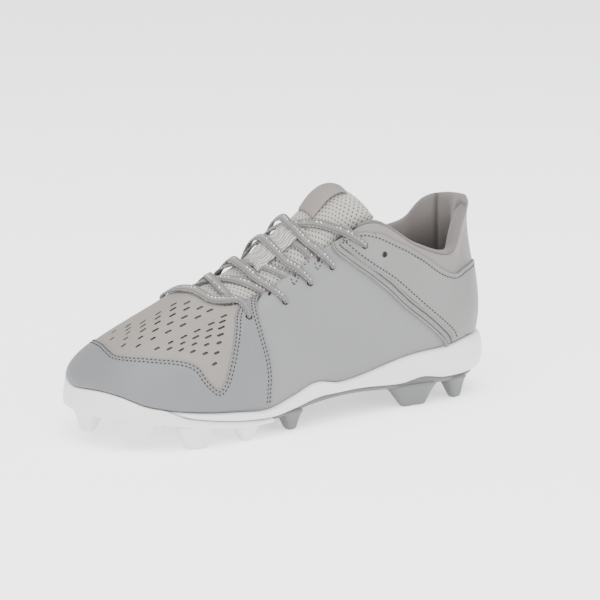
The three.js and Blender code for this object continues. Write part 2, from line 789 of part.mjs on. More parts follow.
// Padded lining round the collar, thickest below its rolled edge, with a crease at the back of the heel.
function collarPad() {
  const reach = 80;
  const ends = 36;
  const back = -(upperWall + clearance);
  return ringSolid(
    Array.from({ length: ends + 1 }, (_, k) => {
      const turn = -reach + (2 * reach * k) / ends;
      const full = Math.min(1, (reach - Math.abs(turn)) / 26 + 0.3);
      const crease = 1 - 0.35 * Math.exp(-((turn / 8) ** 2));
      const thick = padThickness * full * crease;
      const height = ribPoint(turn, 0).distanceTo(ribPoint(turn, 1));
      const roll = padRoll / height;
      const face = [
        [0.5, back],
        [0.64, back],
        [0.78, back],
        [0.9, back],
        [1 + roll * 0.4, back],
        [1 + roll, back - 0.3 * thick],
      ];
      const room = [
        [1 + roll, back - 0.6 * thick],
        [0.99, back - 0.85 * thick],
        [0.88, back - thick],
        [0.76, back - 0.85 * thick],
        [0.62, back - 0.5 * thick],
        [0.5, back - 1],
      ];
      return [...face, ...room].map(([v, offset]) => upperPoint(turn, v, offset));
    }),
  );
}

// Tongue, keeper and pull strap follow one arch along the foot: its crown and its section's half width
// and depth.
const tongueTable = [
  { along: 0.775, height: 0.6, width: 0.86, depth: 0.5 },
  { along: 0.72, height: 0.64, width: 0.9, depth: 0.66 },
  { along: 0.66, height: 0.692, width: 0.94, depth: 0.95 },
  { along: 0.6, height: 0.756, width: 0.97, depth: 1.25 },
  { along: 0.53, height: 0.846, width: 1, depth: 1.45 },
  { along: 0.48, height: 0.922, width: 0.98, depth: 1.5 },
  { along: 0.44, height: 0.993, width: 0.92, depth: 1.45 },
  { along: 0.405, height: 1.05, width: 0.86, depth: 1.35 },
  { along: 0.375, height: 1.078, width: 0.82, depth: 1.2 },
  { along: 0.35, height: 1.08, width: 0.8, depth: 1.1 },
  { along: 0.325, height: 1.066, width: 0.78, depth: 1 },
];
const tongueEnd = 66; // degrees of the arch on each side

function tongueSection(s) {
  const place = Math.min(Math.max(s, 0), 1) * (tongueTable.length - 1);
  const i = Math.min(Math.floor(place), tongueTable.length - 2);
  const read = (column) => {
    const value = (k) => tongueTable[Math.min(Math.max(k, 0), tongueTable.length - 1)][column];
    const [p, q, r, t] = [value(i - 1), value(i), value(i + 1), value(i + 2)];
    const u = place - i;
    return 0.5 * (2 * q + (r - p) * u + (2 * p - 5 * q + 4 * r - t) * u * u + (3 * q - p - 3 * r + t) * u ** 3);
  };
  return {
    x: soleLength * read("along"),
    z: backHeight * read("height"),
    width: tongueHalfWidth * read("width"),
    depth: tongueHalfWidth * read("depth"),
  };
}

const tongueMiddle = -0.02 * halfBall;

// A point over the tongue: s from its front end to its top, angle from its crown, lift above its outer face.
function tonguePoint(s, angle, lift = 0) {
  const { x, z, width, depth } = tongueSection(s);
  const a = angle * degrees;
  const ahead = tongueSection(s + 0.02);
  const behind = tongueSection(s - 0.02);
  const rise = new THREE.Vector3(ahead.x - behind.x, 0, ahead.z - behind.z).normalize();
  const up = new THREE.Vector3(rise.z, 0, -rise.x);
  const side = Math.sin(a);
  const over = Math.cos(a);
  return new THREE.Vector3(x, tongueMiddle + (width + lift) * side, z)
    .addScaledVector(up, -depth * (1 - over) * 0.35 + lift * over)
    .add(new THREE.Vector3(0, 0, -depth * (1 - over) * 0.65));
}

function tongueStrip(from, to, steps, angles, low, high) {
  return ringSolid(
    Array.from({ length: steps + 1 }, (_, i) => {
      const s = from + ((to - from) * i) / steps;
      const span = angles(i / steps);
      const arc = Array.from({ length: 9 }, (__, k) => -span + (2 * span * k) / 8);
      const lowLift = low(i / steps);
      const highLift = high(i / steps);
      return [
        ...arc.map((a) => tonguePoint(s, a, highLift)),
        ...arc.map((a) => tonguePoint(s, a, lowLift)).reverse(),
      ];
    }),
  );
}

const tongueForm = (low, high) => {
  const taper = (share) => (share > 0.93 ? 0.72 : share > 0.86 ? 0.9 : 1);
  return tongueStrip(0, 1, 20, (share) => tongueEnd * taper(share), () => low, () => high);
};

const throatEdge = 0.012; // clear of the upper's top line, as a share of its ribs
const tongue = () => tongueForm(-tongueThickness, 0).subtract(wall(-(upperWall + clearance), 6, throatEdge));

// How far along the tongue's line a place is, given its distance from the heel as a share of the length.
function tonguePlace(share) {
  let [front, top] = [0, 1];
  for (let i = 0; i < 30; i++) {
    const middle = (front + top) / 2;
    if (tongueSection(middle).x > share * soleLength) front = middle;
    else top = middle;
  }
  return front;
}

const spanOf = (width) => width / 2 / tongueHalfWidth / degrees;

// Strap of smooth synthetic up the front of the tongue and over its top, where it stands off it.
function pullStrap() {
  const lift = (share) => clearance + pullStandOff * Math.sin(Math.PI * share) ** 0.7;
  return tongueStrip(
    tonguePlace(pullFrom),
    tonguePlace(pullTo),
    12,
    () => spanOf(pullWidth),
    lift,
    (share) => lift(share) + pullThickness,
  );
}

// Webbing keeper sewn to the tongue at both ends, with the third crossing under its arch.
function keeper() {
  const rise = (share) => Math.min(1, share / 0.2, (1 - share) / 0.2);
  const lift = (share) => clearance + (laceThickness + 2 * clearance) * rise(share);
  return tongueStrip(
    tonguePlace(keeperFrom),
    tonguePlace(keeperTo),
    10,
    () => spanOf(keeperWidth),
    lift,
    (share) => lift(share) + keeperThickness,
  );
}

// Laces: each strand runs through eyelets, given as { eyelet, side }, and over the tongue, given as
// [share of the
// length, angle from the crown, extra height]. Where it goes under the throat's edge it stops at the edge.
const laceRows = {
  lace_bar: [[{ eyelet: 0, side: "outer" }, { edge: 129 }, { edge: 165 }, { edge: -160 }, { eyelet: 0,
    side: "inner" }]],
  lace_row_1: [
    [{ eyelet: 1, side: "outer" }, { edge: 108 }, [0.6, 8], [0.632, -36], [0.65, -62]],
    [[0.578, 64], [0.602, 22], [0.63, -18], [0.662, -50]],
  ],
  lace_row_2: [
    [{ eyelet: 2, side: "outer" }, { edge: 100 }, [0.528, 8], [0.556, -36], [0.575, -62]],
    [[0.512, 64], [0.53, 22], [0.55, -22], { edge: -113 }, { eyelet: 1, side: "inner" }],
  ],
  lace_row_3: [
    [{ eyelet: 3, side: "outer" }, { edge: 93 }, [0.466, 8], [0.496, -36], [0.512, -62]],
    [{ eyelet: 4, side: "outer" }, { edge: 83 }, [0.405, 44, 1.5], [0.43, 20, 3.4], [0.458, -6],
      [0.497, -44]],
    [[0.45, 64], [0.464, 22], [0.484, -22], { edge: -102 }, { eyelet: 2, side: "inner" }],
  ],
};

function laceStrand(stops) {
  const over = 3 * clearance + bandThickness + laceThickness / 2;
  const spots = stops.map((stop) => {
    if (Array.isArray(stop)) {
      const s = tonguePlace(stop[0]);
      const at = tonguePoint(s, stop[1], clearance + laceThickness / 2 + (stop[2] ?? 0));
      return { at, normal: at.clone().sub(tonguePoint(s, stop[1])).normalize() };
    }
    const { turn, v } = stop.edge ? { turn: stop.edge, v: 1 } : eyelets[stop.eyelet][stop.side];
    return { at: upperPoint(turn, v, over), normal: ribNormal(turn, v) };
  });
  const route = new THREE.CatmullRomCurve3(spots.map(({ at }) => at), false, "centripetal");
  const steps = 3 * (spots.length - 1);
  return ringSolid(
    Array.from({ length: steps + 1 }, (_, k) => {
      const t = k / steps;
      const i = Math.min(Math.floor(t * (spots.length - 1)), spots.length - 2);
      const normal = spots[i].normal.clone().lerp(spots[i + 1].normal, t * (spots.length - 1) - i);
      const across = new THREE.Vector3().crossVectors(route.getTangent(t), normal).normalize();
      normal.crossVectors(across, route.getTangent(t)).normalize();
      const corner = (p, q) =>
        route
          .getPoint(t)
          .addScaledVector(across, (p * laceWidth) / 2)
          .addScaledVector(normal, (q * laceThickness) / 2);
      return [
        [1, 0],
        [0.6, 1],
        [-0.6, 1],
        [-1, 0],
        [-0.6, -1],
        [0.6, -1],
      ].map(([p, q]) => corner(p, q));
    }),
  );
}

// A row of lacing is its strands joined where they cross, clear of the tongue and the upper, as one body.
function laceRow(strands) {
  const joined = strands.map(laceStrand).reduce((solid, strand) => solid.add(strand));
  const clear = joined
    .subtract(wall(-(upperWall + clearance), overlayThickness + 1.5 * clearance, throatEdge))
    .subtract(tongueForm(-tongueThickness, 0.9 * clearance));
  return largest(clear);
}

const part = new THREE.Group();
const finishes = {
  vampGrey: { color: 0xb8b4b1, roughness: 0.55 },
  panelGrey: { color: 0xa9a9a9, roughness: 0.5 },
  meshGrey: { color: 0xc0bab6, roughness: 0.85 },
  laceGrey: { color: 0xbfbaba, roughness: 0.8 },
  soleWhite: { color: 0xe8e6e6, roughness: 0.4 },
  soleGrey: { color: 0xa2a3a3, roughness: 0.45 },
};

function addPiece(name, solid, finish) {
  const material = new THREE.MeshStandardMaterial({ ...finishes[finish], metalness: 0 });
  const mesh = new THREE.Mesh(geometryOf(solid), material);
  mesh.name = name;
  part.add(mesh);
}

addPiece("outsole_front", outsoleFront(), "soleWhite");
addPiece("outsole_rear", outsoleRear(), "soleGrey");
addPiece("midsole", midsole(), "soleWhite");
addPiece("insole", insole(), "meshGrey");
addPiece("upper", upper(), "vampGrey");
addPiece("toe_guard", toeGuard(), "panelGrey");
addPiece("ankle_panel", anklePanel(), "panelGrey");
addPiece("side_band_outer", sideBand(1), "panelGrey");
addPiece("side_band_inner", sideBand(-1), "panelGrey");
addPiece("collar_lining", collarPad(), "meshGrey");
addPiece("tongue", tongue(), "meshGrey");
addPiece("pull_strap", pullStrap(), "panelGrey");
addPiece("lace_keeper", keeper(), "laceGrey");
for (const [name, strands] of Object.entries(laceRows)) addPiece(name, laceRow(strands), "laceGrey");

// The origin is at the middle of the shoe's footprint, on the ground.
const box = new THREE.Box3().setFromObject(part);
const middle = box.getCenter(new THREE.Vector3());
for (const mesh of part.children) mesh.position.set(-middle.x, -middle.y, -box.min.z);

export default part;
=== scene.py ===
import math

import bpy
import numpy as np
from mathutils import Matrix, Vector


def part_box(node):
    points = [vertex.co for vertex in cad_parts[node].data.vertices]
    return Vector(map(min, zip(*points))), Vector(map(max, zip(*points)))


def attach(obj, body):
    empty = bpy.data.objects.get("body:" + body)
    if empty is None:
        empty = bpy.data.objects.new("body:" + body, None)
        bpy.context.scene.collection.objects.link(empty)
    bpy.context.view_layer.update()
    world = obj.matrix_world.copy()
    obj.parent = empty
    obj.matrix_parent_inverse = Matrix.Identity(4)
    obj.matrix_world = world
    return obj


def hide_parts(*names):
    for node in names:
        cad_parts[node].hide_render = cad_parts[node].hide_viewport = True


# Baseball cleat, left shoe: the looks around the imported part.
# Shapes are worked out in millimetres in the shoe's own layout: x from heel to toe, y to the outer side of
# the foot and z up. A place on the upper is a turn in degrees round the shoe (0 heel, 180 toe) and v, which
# is 0 at the sole and 1 at the top line.

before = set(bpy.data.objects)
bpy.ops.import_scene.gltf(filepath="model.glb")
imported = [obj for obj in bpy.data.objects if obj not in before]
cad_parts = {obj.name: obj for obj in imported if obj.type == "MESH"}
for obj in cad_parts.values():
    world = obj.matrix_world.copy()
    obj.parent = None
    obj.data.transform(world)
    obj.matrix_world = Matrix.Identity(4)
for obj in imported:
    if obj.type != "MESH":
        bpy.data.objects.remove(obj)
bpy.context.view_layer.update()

shoe = {
    "length": 290.0, "ballWidth": 106.0, "backHeight": 130.0, "rimHeight": 40.0, "clearance": 0.3,
    "upperInset": 2.2, "wall": 1.8, "rimBulge": 1.2, "midsoleEnd": 0.885, "tongueHalfWidth": 25.0,
}
halfBall = shoe["ballWidth"] / 2

# turn, then the sole's outer and inner edge as shares of half the ball width
outlineRows = np.array([
    [0, 0, 0], [15, 0.31, -0.31], [30, 0.54, -0.54], [45, 0.65, -0.64], [60, 0.66, -0.61], [75, 0.68, -0.56],
    [90, 0.77, -0.6], [105, 0.91, -0.79], [120, 0.99, -0.96], [135, 0.91, -0.99], [150, 0.67, -0.85],
    [165, 0.29, -0.52], [180, -0.12, -0.12],
]).T
# turn, rim, split, plate, bed as shares of the rim height
levelRows = np.array([
    [0, 1, 0.42, 0.32, 0.87], [30, 1, 0.42, 0.32, 0.86], [45, 0.92, 0.42, 0.32, 0.81],
    [54, 0.89, 0.48, 0.32, 0.78], [62, 0.83, 0.42, 0.33, 0.74], [75, 0.66, 0.46, 0.37, 0.62],
    [82, 0.62, 0.46, 0.37, 0.57], [89, 0.69, 0.45, 0.34, 0.52], [97, 0.55, 0.36, 0.27, 0.46],
    [105, 0.44, 0.31, 0.23, 0.41], [116, 0.5, 0.37, 0.26, 0.42], [125, 0.55, 0.45, 0.33, 0.46],
    [135, 0.62, 0.55, 0.4, 0.52], [145, 0.7, 0.69, 0.44, 0.56], [155, 0.84, 0.82, 0.47, 0.61],
    [165, 0.89, 0.87, 0.49, 0.65], [180, 0.86, 0.84, 0.5, 0.67],
]).T
# turn, along outer, along inner, across outer, across inner, height outer, height inner
topRows = np.array([
    [0, 0.02, 0.02, 0, 0, 0.975, 0.975], [15, 0.035, 0.035, 0.22, -0.22, 0.968, 0.968],
    [30, 0.071, 0.071, 0.41, -0.41, 0.89, 0.94], [45, 0.124, 0.124, 0.58, -0.57, 0.744, 0.83],
    [60, 0.219, 0.219, 0.61, -0.6, 0.8, 0.817], [75, 0.321, 0.321, 0.53, -0.51, 0.935, 0.951],
    [90, 0.409, 0.409, 0.45, -0.45, 0.87, 0.885], [105, 0.515, 0.515, 0.4, -0.42, 0.744, 0.76],
    [120, 0.602, 0.622, 0.41, -0.44, 0.646, 0.675], [135, 0.675, 0.7, 0.39, -0.42, 0.61, 0.635],
    [150, 0.712, 0.742, 0.24, -0.33, 0.642, 0.63], [165, 0.726, 0.75, 0.08, -0.2, 0.665, 0.645],
    [180, 0.738, 0.738, -0.07, -0.07, 0.664, 0.664],
]).T
# turn, outer rise, inner rise, swell, reach, lean, drop
ribRows = np.array([
    [0, 0.35, 0.35, 0.2, 0, 0.02, 0.38], [15, 0.35, 0.35, 0.14, 0, 0.1, 0.38],
    [30, 0.35, 0.35, 0.135, 0, 0.14, 0.36], [45, 0.35, 0.35, 0.08, 0, 0.06, 0.33],
    [60, 0.35, 0.35, 0.05, 0, 0.03, 0.33], [75, 0.36, 0.36, 0.05, 0.25, 0, 0.3],
    [90, 0.38, 0.38, 0.04, 0.35, 0, 0.25], [105, 0.45, 0.42, 0.03, 0.42, 0, 0.2],
    [120, 0.5, 0.4, 0.02, 0.44, 0, 0.14], [135, 0.56, 0.36, 0.02, 0.42, 0, 0.22],
    [150, 0.43, 0.33, 0.02, 0.36, 0, 0.32], [165, 0.34, 0.31, 0.02, 0.4, 0, 0.32],
    [180, 0.31, 0.31, 0.02, 0.41, 0, 0.34],
]).T
# along, height, width, depth of the tongue's arch
tongueRows = np.array([
    [0.775, 0.6, 0.86, 0.5], [0.72, 0.64, 0.9, 0.66], [0.66, 0.692, 0.94, 0.95], [0.6, 0.756, 0.97, 1.25],
    [0.53, 0.846, 1, 1.45], [0.48, 0.922, 0.98, 1.5], [0.44, 0.993, 0.92, 1.45], [0.405, 1.05, 0.86, 1.35],
    [0.375, 1.078, 0.82, 1.2], [0.35, 1.08, 0.8, 1.1], [0.325, 1.066, 0.78, 1],
])


# Cubic from a to b over a span, with a slope at each end, at the share s of the span
def slopedCubic(a, b, slopeA, slopeB, span, s):
    rise = a * (1 + 2 * s) * (1 - s) ** 2 + slopeA * span * s * (1 - s) ** 2
    return rise + b * s * s * (3 - 2 * s) - slopeB * span * s * s * (1 - s)


# Cubic from b to c at the share s, with slopes taken from the neighbours a and d
def neighbourCubic(a, b, c, d, s):
    return 0.5 * (2 * b + (c - a) * s + (2 * a - 5 * b + 4 * c - d) * s * s + (3 * b - a - 3 * c + d) * s**3)


# Closed cubic curve through (turn, value) knots; a knot's slope is that between its two neighbours
def roundCurve(turns, outer, inner):
    knots = np.concatenate([turns, 360 - turns[-2:0:-1]])
    values = np.concatenate([outer, inner[-2:0:-1]])
    knots = np.concatenate([knots[-2:] - 360, knots, knots[:3] + 360])
    values = np.concatenate([values[-2:], values, values[:3]])
    slopes = np.zeros_like(values)
    slopes[1:-1] = (values[2:] - values[:-2]) / (knots[2:] - knots[:-2])

    def read(turn):
        turn = np.mod(turn, 360.0)
        i = np.clip(np.searchsorted(knots, turn, side="right") - 1, 2, len(knots) - 4)
        span = knots[i + 1] - knots[i]
        s = (turn - knots[i]) / span
        return slopedCubic(values[i], values[i + 1], slopes[i], slopes[i + 1], span, s)

    return read


outlineShare = roundCurve(*outlineRows)
levelNames = ["rim", "split", "plate", "bed"]
level = {name: roundCurve(levelRows[0], row, row) for name, row in zip(levelNames, levelRows[1:])}
topColumns = {"along": 1, "across": 3, "height": 5}
topCurve = {name: roundCurve(topRows[0], topRows[k], topRows[k + 1]) for name, k in topColumns.items()}
ribRise = roundCurve(ribRows[0], ribRows[1], ribRows[2])
ribNames = ["swell", "reach", "lean", "drop"]
ribCurve = {name: roundCurve(ribRows[0], row, row) for name, row in zip(ribNames, ribRows[3:])}


# Points from their three coordinates, spread to one shape
def stacked(x, y, z):
    return np.stack(np.broadcast_arrays(x, y, z), axis=-1).astype(float)


# Vectors over their lengths
def unit(vectors):
    return vectors / np.maximum(np.linalg.norm(vectors, axis=-1, keepdims=True), 1e-9)


# Eases from 0 to 1: t squared times (3 - 2 t)
def smoothStep(value):
    t = np.clip(value, 0, 1)
    return t * t * (3 - 2 * t)


# Length along a row of points up to each of them
def runLength(points):
    return np.concatenate([[0], np.cumsum(np.linalg.norm(np.diff(points, axis=0), axis=1))])


# Sole edge in plan: x = half length times (1 - cos turn), y = half the ball width times the outline share
def soleEdge(turn):
    return stacked(shoe["length"] / 2 * (1 - np.cos(np.radians(turn))), halfBall * outlineShare(turn), 0.0)


# Square to the sole's edge in plan, away from the shoe
def outward(turn):
    step = soleEdge(turn + 0.5) - soleEdge(turn - 0.5)
    return unit(stacked(-step[..., 1], step[..., 0], 0.0))


# The sole's edge moved in by inset, at height z
def solePoint(turn, inset, z):
    p = soleEdge(turn) - outward(turn) * np.asarray(inset, float)[..., None]
    return stacked(p[..., 0], p[..., 1], z)


# Point of the upper: a cubic curve from the sole's edge to the top line, run straight on above 1
def ribPoint(turn, v):
    turn, v = np.broadcast_arrays(np.asarray(turn, float), np.asarray(v, float))
    foot = solePoint(turn, shoe["upperInset"], shoe["rimHeight"] * level["rim"](turn) + shoe["clearance"])
    along, across = shoe["length"] * topCurve["along"](turn), halfBall * topCurve["across"](turn)
    top = stacked(along, across, shoe["backHeight"] * topCurve["height"](turn))
    out = outward(turn)
    height = (top - foot)[..., 2:]
    low = foot + out * (ribCurve["swell"](turn) * halfBall)[..., None]
    low[..., 2:] += ribRise(turn)[..., None] * height
    flat = (foot - top) * np.array([1.0, 1.0, 0.0])
    high = top + flat * ribCurve["reach"](turn)[..., None]
    high -= out * (ribCurve["lean"](turn) * halfBall)[..., None]
    high[..., 2:] -= ribCurve["drop"](turn)[..., None] * height
    t = np.minimum(v, 1.0)[..., None]
    curve = foot * (1 - t) ** 3 + low * 3 * t * (1 - t) ** 2 + high * 3 * t * t * (1 - t) + top * t ** 3
    return curve + (top - high) * 3 * np.maximum(v - 1, 0)[..., None]


# Square to the rib and to the way round the shoe, outward
def ribNormal(turn, v):
    at = np.minimum(v, 0.99)
    around = ribPoint(turn + 0.5, at) - ribPoint(turn - 0.5, at)
    up = ribPoint(turn, at + 0.01) - ribPoint(turn, np.maximum(at - 0.01, 0))
    return unit(np.cross(up, around))


# The upper's point moved along its normal by offset
def upperPoint(turn, v, offset=0.0):
    turn, v = np.broadcast_arrays(np.asarray(turn, float), np.asarray(v, float))
    return ribPoint(turn, v) + ribNormal(turn, v) * np.asarray(offset, float)[..., None]


# The frame's place of the shoe's layout: the midsole's heel and outer edge against its node's box
midsoleEdge = solePoint((np.arange(72) + 0.5) * 5, -shoe["rimBulge"], 0.0)
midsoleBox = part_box("midsole")
layoutShift = np.array([
    midsoleBox[0].x - midsoleEdge[:, 0].min() / 1000,
    midsoleBox[1].y - midsoleEdge[midsoleEdge[:, 0] < shoe["midsoleEnd"] * shoe["length"], 1].max() / 1000,
    0.0,
])
chordPower = 0.7


# A smooth line through points: cubic spans whose slopes follow the neighbours' chord, by their spacing
def smoothLine(points, spacing, scale=None):
    points = np.asarray(points, float)
    sized = points if scale is None else points * scale
    chords = np.maximum(np.linalg.norm(np.diff(sized, axis=0), axis=1), 1e-6)
    knots = np.concatenate([[0], np.cumsum(chords ** chordPower)])
    slopes = np.gradient(points, knots, axis=0)
    fine = np.linspace(0, knots[-1], 40 * len(points))
    i = np.clip(np.searchsorted(knots, fine, side="right") - 1, 0, len(points) - 2)
    span = (knots[i + 1] - knots[i])[:, None]
    s = ((fine - knots[i]) / span[:, 0])[:, None]
    line = slopedCubic(points[i], points[i + 1], slopes[i], slopes[i + 1], span, s)
    run = runLength(line * (1 if scale is None else scale))
    count = max(2, int(round(run[-1] / spacing)) + 1)
    want = np.linspace(0, run[-1], count)
    return np.stack([np.interp(want, run, line[:, k]) for k in range(points.shape[1])], axis=1)


# Meshes

# One mesh from layout points in mm and faces, put in the frame in metres; values are held by its points
def makePiece(name, points, faces, surface, uv, values=None):
    mesh = bpy.data.meshes.new(name)
    mesh.from_pydata((points / 1000 + layoutShift).tolist(), [], faces.tolist())
    mesh.update()
    layer = mesh.uv_layers.new(name="uvMm")
    corner = np.zeros(len(mesh.loops), np.int32)
    mesh.loops.foreach_get("vertex_index", corner)
    layer.data.foreach_set("uv", np.asarray(uv, np.float32)[corner].ravel())
    for key, value in (values or {}).items():
        held = (np.ones(len(points)) * value).astype(np.float32)
        mesh.attributes.new(key, "FLOAT", "POINT").data.foreach_set("value", held)
    mesh.polygons.foreach_set("use_smooth", np.ones(len(mesh.polygons), bool))
    piece = bpy.data.objects.new(name, mesh)
    bpy.context.scene.collection.objects.link(piece)
    mesh.materials.append(surface.material)
    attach(piece, "root")
    return piece


# Faces of a grid of rows by columns; wrapped columns join the last to the first
def gridFaces(rows, columns, wrapColumns=False):
    last = columns if wrapColumns else columns - 1
    i, j = np.meshgrid(np.arange(rows - 1), np.arange(last), indexing="ij")
    over = (j + 1) % columns
    corners = [i * columns + j, i * columns + over, (i + 1) * columns + over, (i + 1) * columns + j]
    return np.stack(corners, axis=-1).reshape(-1, 4)


# Faces are turned outward by the sign of the closed mesh's volume
def turnedOut(points, faces):
    volume = 0.0
    for k in range(1, faces.shape[1] - 1):
        a, b, c = points[faces[:, 0]], points[faces[:, k]], points[faces[:, k + 1]]
        volume += float((a * np.cross(b, c)).sum())
    return faces[:, ::-1] if volume < 0 else faces


# Faces of a closed tube: its rings joined, and each end closed by strips between the end ring's two halves
def tubeFaces(rings, corners):
    half = corners // 2
    k = np.arange(half - 1)
    end = (rings - 1) * corners
    firstCap = np.stack([k, corners - 1 - k, corners - 2 - k, k + 1], axis=-1)
    lastCap = end + np.stack([k, k + 1, corners - 2 - k, corners - 1 - k], axis=-1)
    return np.concatenate([gridFaces(rings, corners, wrapColumns=True), firstCap, lastCap])


# Map of a tube in mm: along for its rings, around for its corners
def tubeMap(along, around):
    return np.stack(np.meshgrid(along, around, indexing="ij"), axis=-1)


# Angles of so many equal steps round a circle, the first one shifted by a share of a step
def circleSteps(count, shift=0.0):
    return (np.arange(count) + shift) / count * 2 * math.pi


# A squared-off oval: cosine and sine to powers below 1, with their signs
def squaredOval(angle, powerX, powerY):
    x, y = np.cos(angle), np.sin(angle)
    return np.stack([np.sign(x) * np.abs(x) ** powerX, np.sign(y) * np.abs(y) ** powerY], axis=1)


# One piece of closed tubes, each given as its rings (rings, corners, 3) and their map
def tubePiece(name, tubes, surface, node=None, values=None):
    points, faces, uvs, start = [], [], [], 0
    for rings, uv in tubes:
        flat = rings.reshape(-1, 3)
        faces.append(turnedOut(flat, tubeFaces(*rings.shape[:2])) + start)
        points.append(flat)
        uvs.append(uv.reshape(-1, 2))
        start += len(flat)
    points, faces, uvs = (np.concatenate(part) for part in (points, faces, uvs))
    piece = makePiece(name, points, faces, surface, uvs, values)
    if node:
        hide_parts(node)
    return piece


farAway = 1e9
# mm for a degree of turn and for v, about right all over the upper, for maps and spacing
mapScale = np.array([2.4, 95.0])


# Local lengths on the upper: mm per degree of turn, and per v along and square to it
def localScale(turn, v):
    around = ribPoint(turn + 0.25, v) - ribPoint(turn - 0.25, v)
    up = (ribPoint(turn, v + 0.005) - ribPoint(turn, v - 0.005)) * 100
    perTurn = np.linalg.norm(around, axis=-1) * 2
    way = unit(around)
    alongV = (up * way).sum(-1)
    acrossV = np.linalg.norm(up - alongV[..., None] * way, axis=-1)
    return perTurn, alongV, np.maximum(acrossV, 1e-3)


# The place that lies x mm along and y mm square to the turn from (turn, v)
def moved(turn, v, scale, x, y):
    perTurn, alongV, acrossV = scale
    dv = y / acrossV
    return turn + (x - alongV * dv) / perTurn, v + dv


# For each segment of a [turn, v] line: how far along it the nearest point lies, and how far off that is in mm
def segmentPlaces(turn, v, scale, line):
    perTurn, alongV, acrossV = scale
    for (turnA, vA), (turnB, vB) in zip(line[:-1], line[1:]):
        ax, ay = perTurn * (turnA - turn) + alongV * (vA - v), acrossV * (vA - v)
        bx, by = perTurn * (turnB - turn) + alongV * (vB - v), acrossV * (vB - v)
        dx, dy = bx - ax, by - ay
        s = np.clip(-(ax * dx + ay * dy) / np.maximum(dx * dx + dy * dy, 1e-9), 0, 1)
        yield s, np.hypot(ax + s * dx, ay + s * dy)


# Least distance in mm from (turn, v) to a line
def lineDistance(turn, v, scale, line):
    least = np.full(np.shape(turn), farAway)
    for _, apart in segmentPlaces(turn, v, scale, line):
        least = np.minimum(least, apart)
    return least


# Signed distance to a closed outline, above 0 inside; inside is where a ray crosses the outline oddly often
def insideArea(area):
    area = np.asarray(area, float)
    closed = np.vstack([area, area[:1]])

    def read(turn, v, scale):
        inside = np.zeros(np.shape(turn), bool)
        for (turnA, vA), (turnB, vB) in zip(closed[:-1], closed[1:]):
            if vA == vB:
                continue
            crosses = (vA > v) != (vB > v)
            inside ^= crosses & (turn < turnA + (turnB - turnA) * (v - vA) / (vB - vA))
        distance = lineDistance(turn, v, scale, closed)
        return np.where(inside, distance, -distance)

    return read


# Distance to the edge of cut-outs, above 0 outside; each is a [turn, v] line with a radius at every point
def outsideCuts(cuts):
    def read(turn, v, scale):
        least = np.full(np.shape(turn), farAway)
        for line, radii in cuts:
            for (s, apart), ra, rb in zip(segmentPlaces(turn, v, scale, line), radii[:-1], radii[1:]):
                least = np.minimum(least, apart - (ra + s * (rb - ra)))
        return least

    return read


# The least of several readers' distances
def allOf(*readers):
    return lambda turn, v, scale: np.minimum.reduce([read(turn, v, scale) for read in readers])


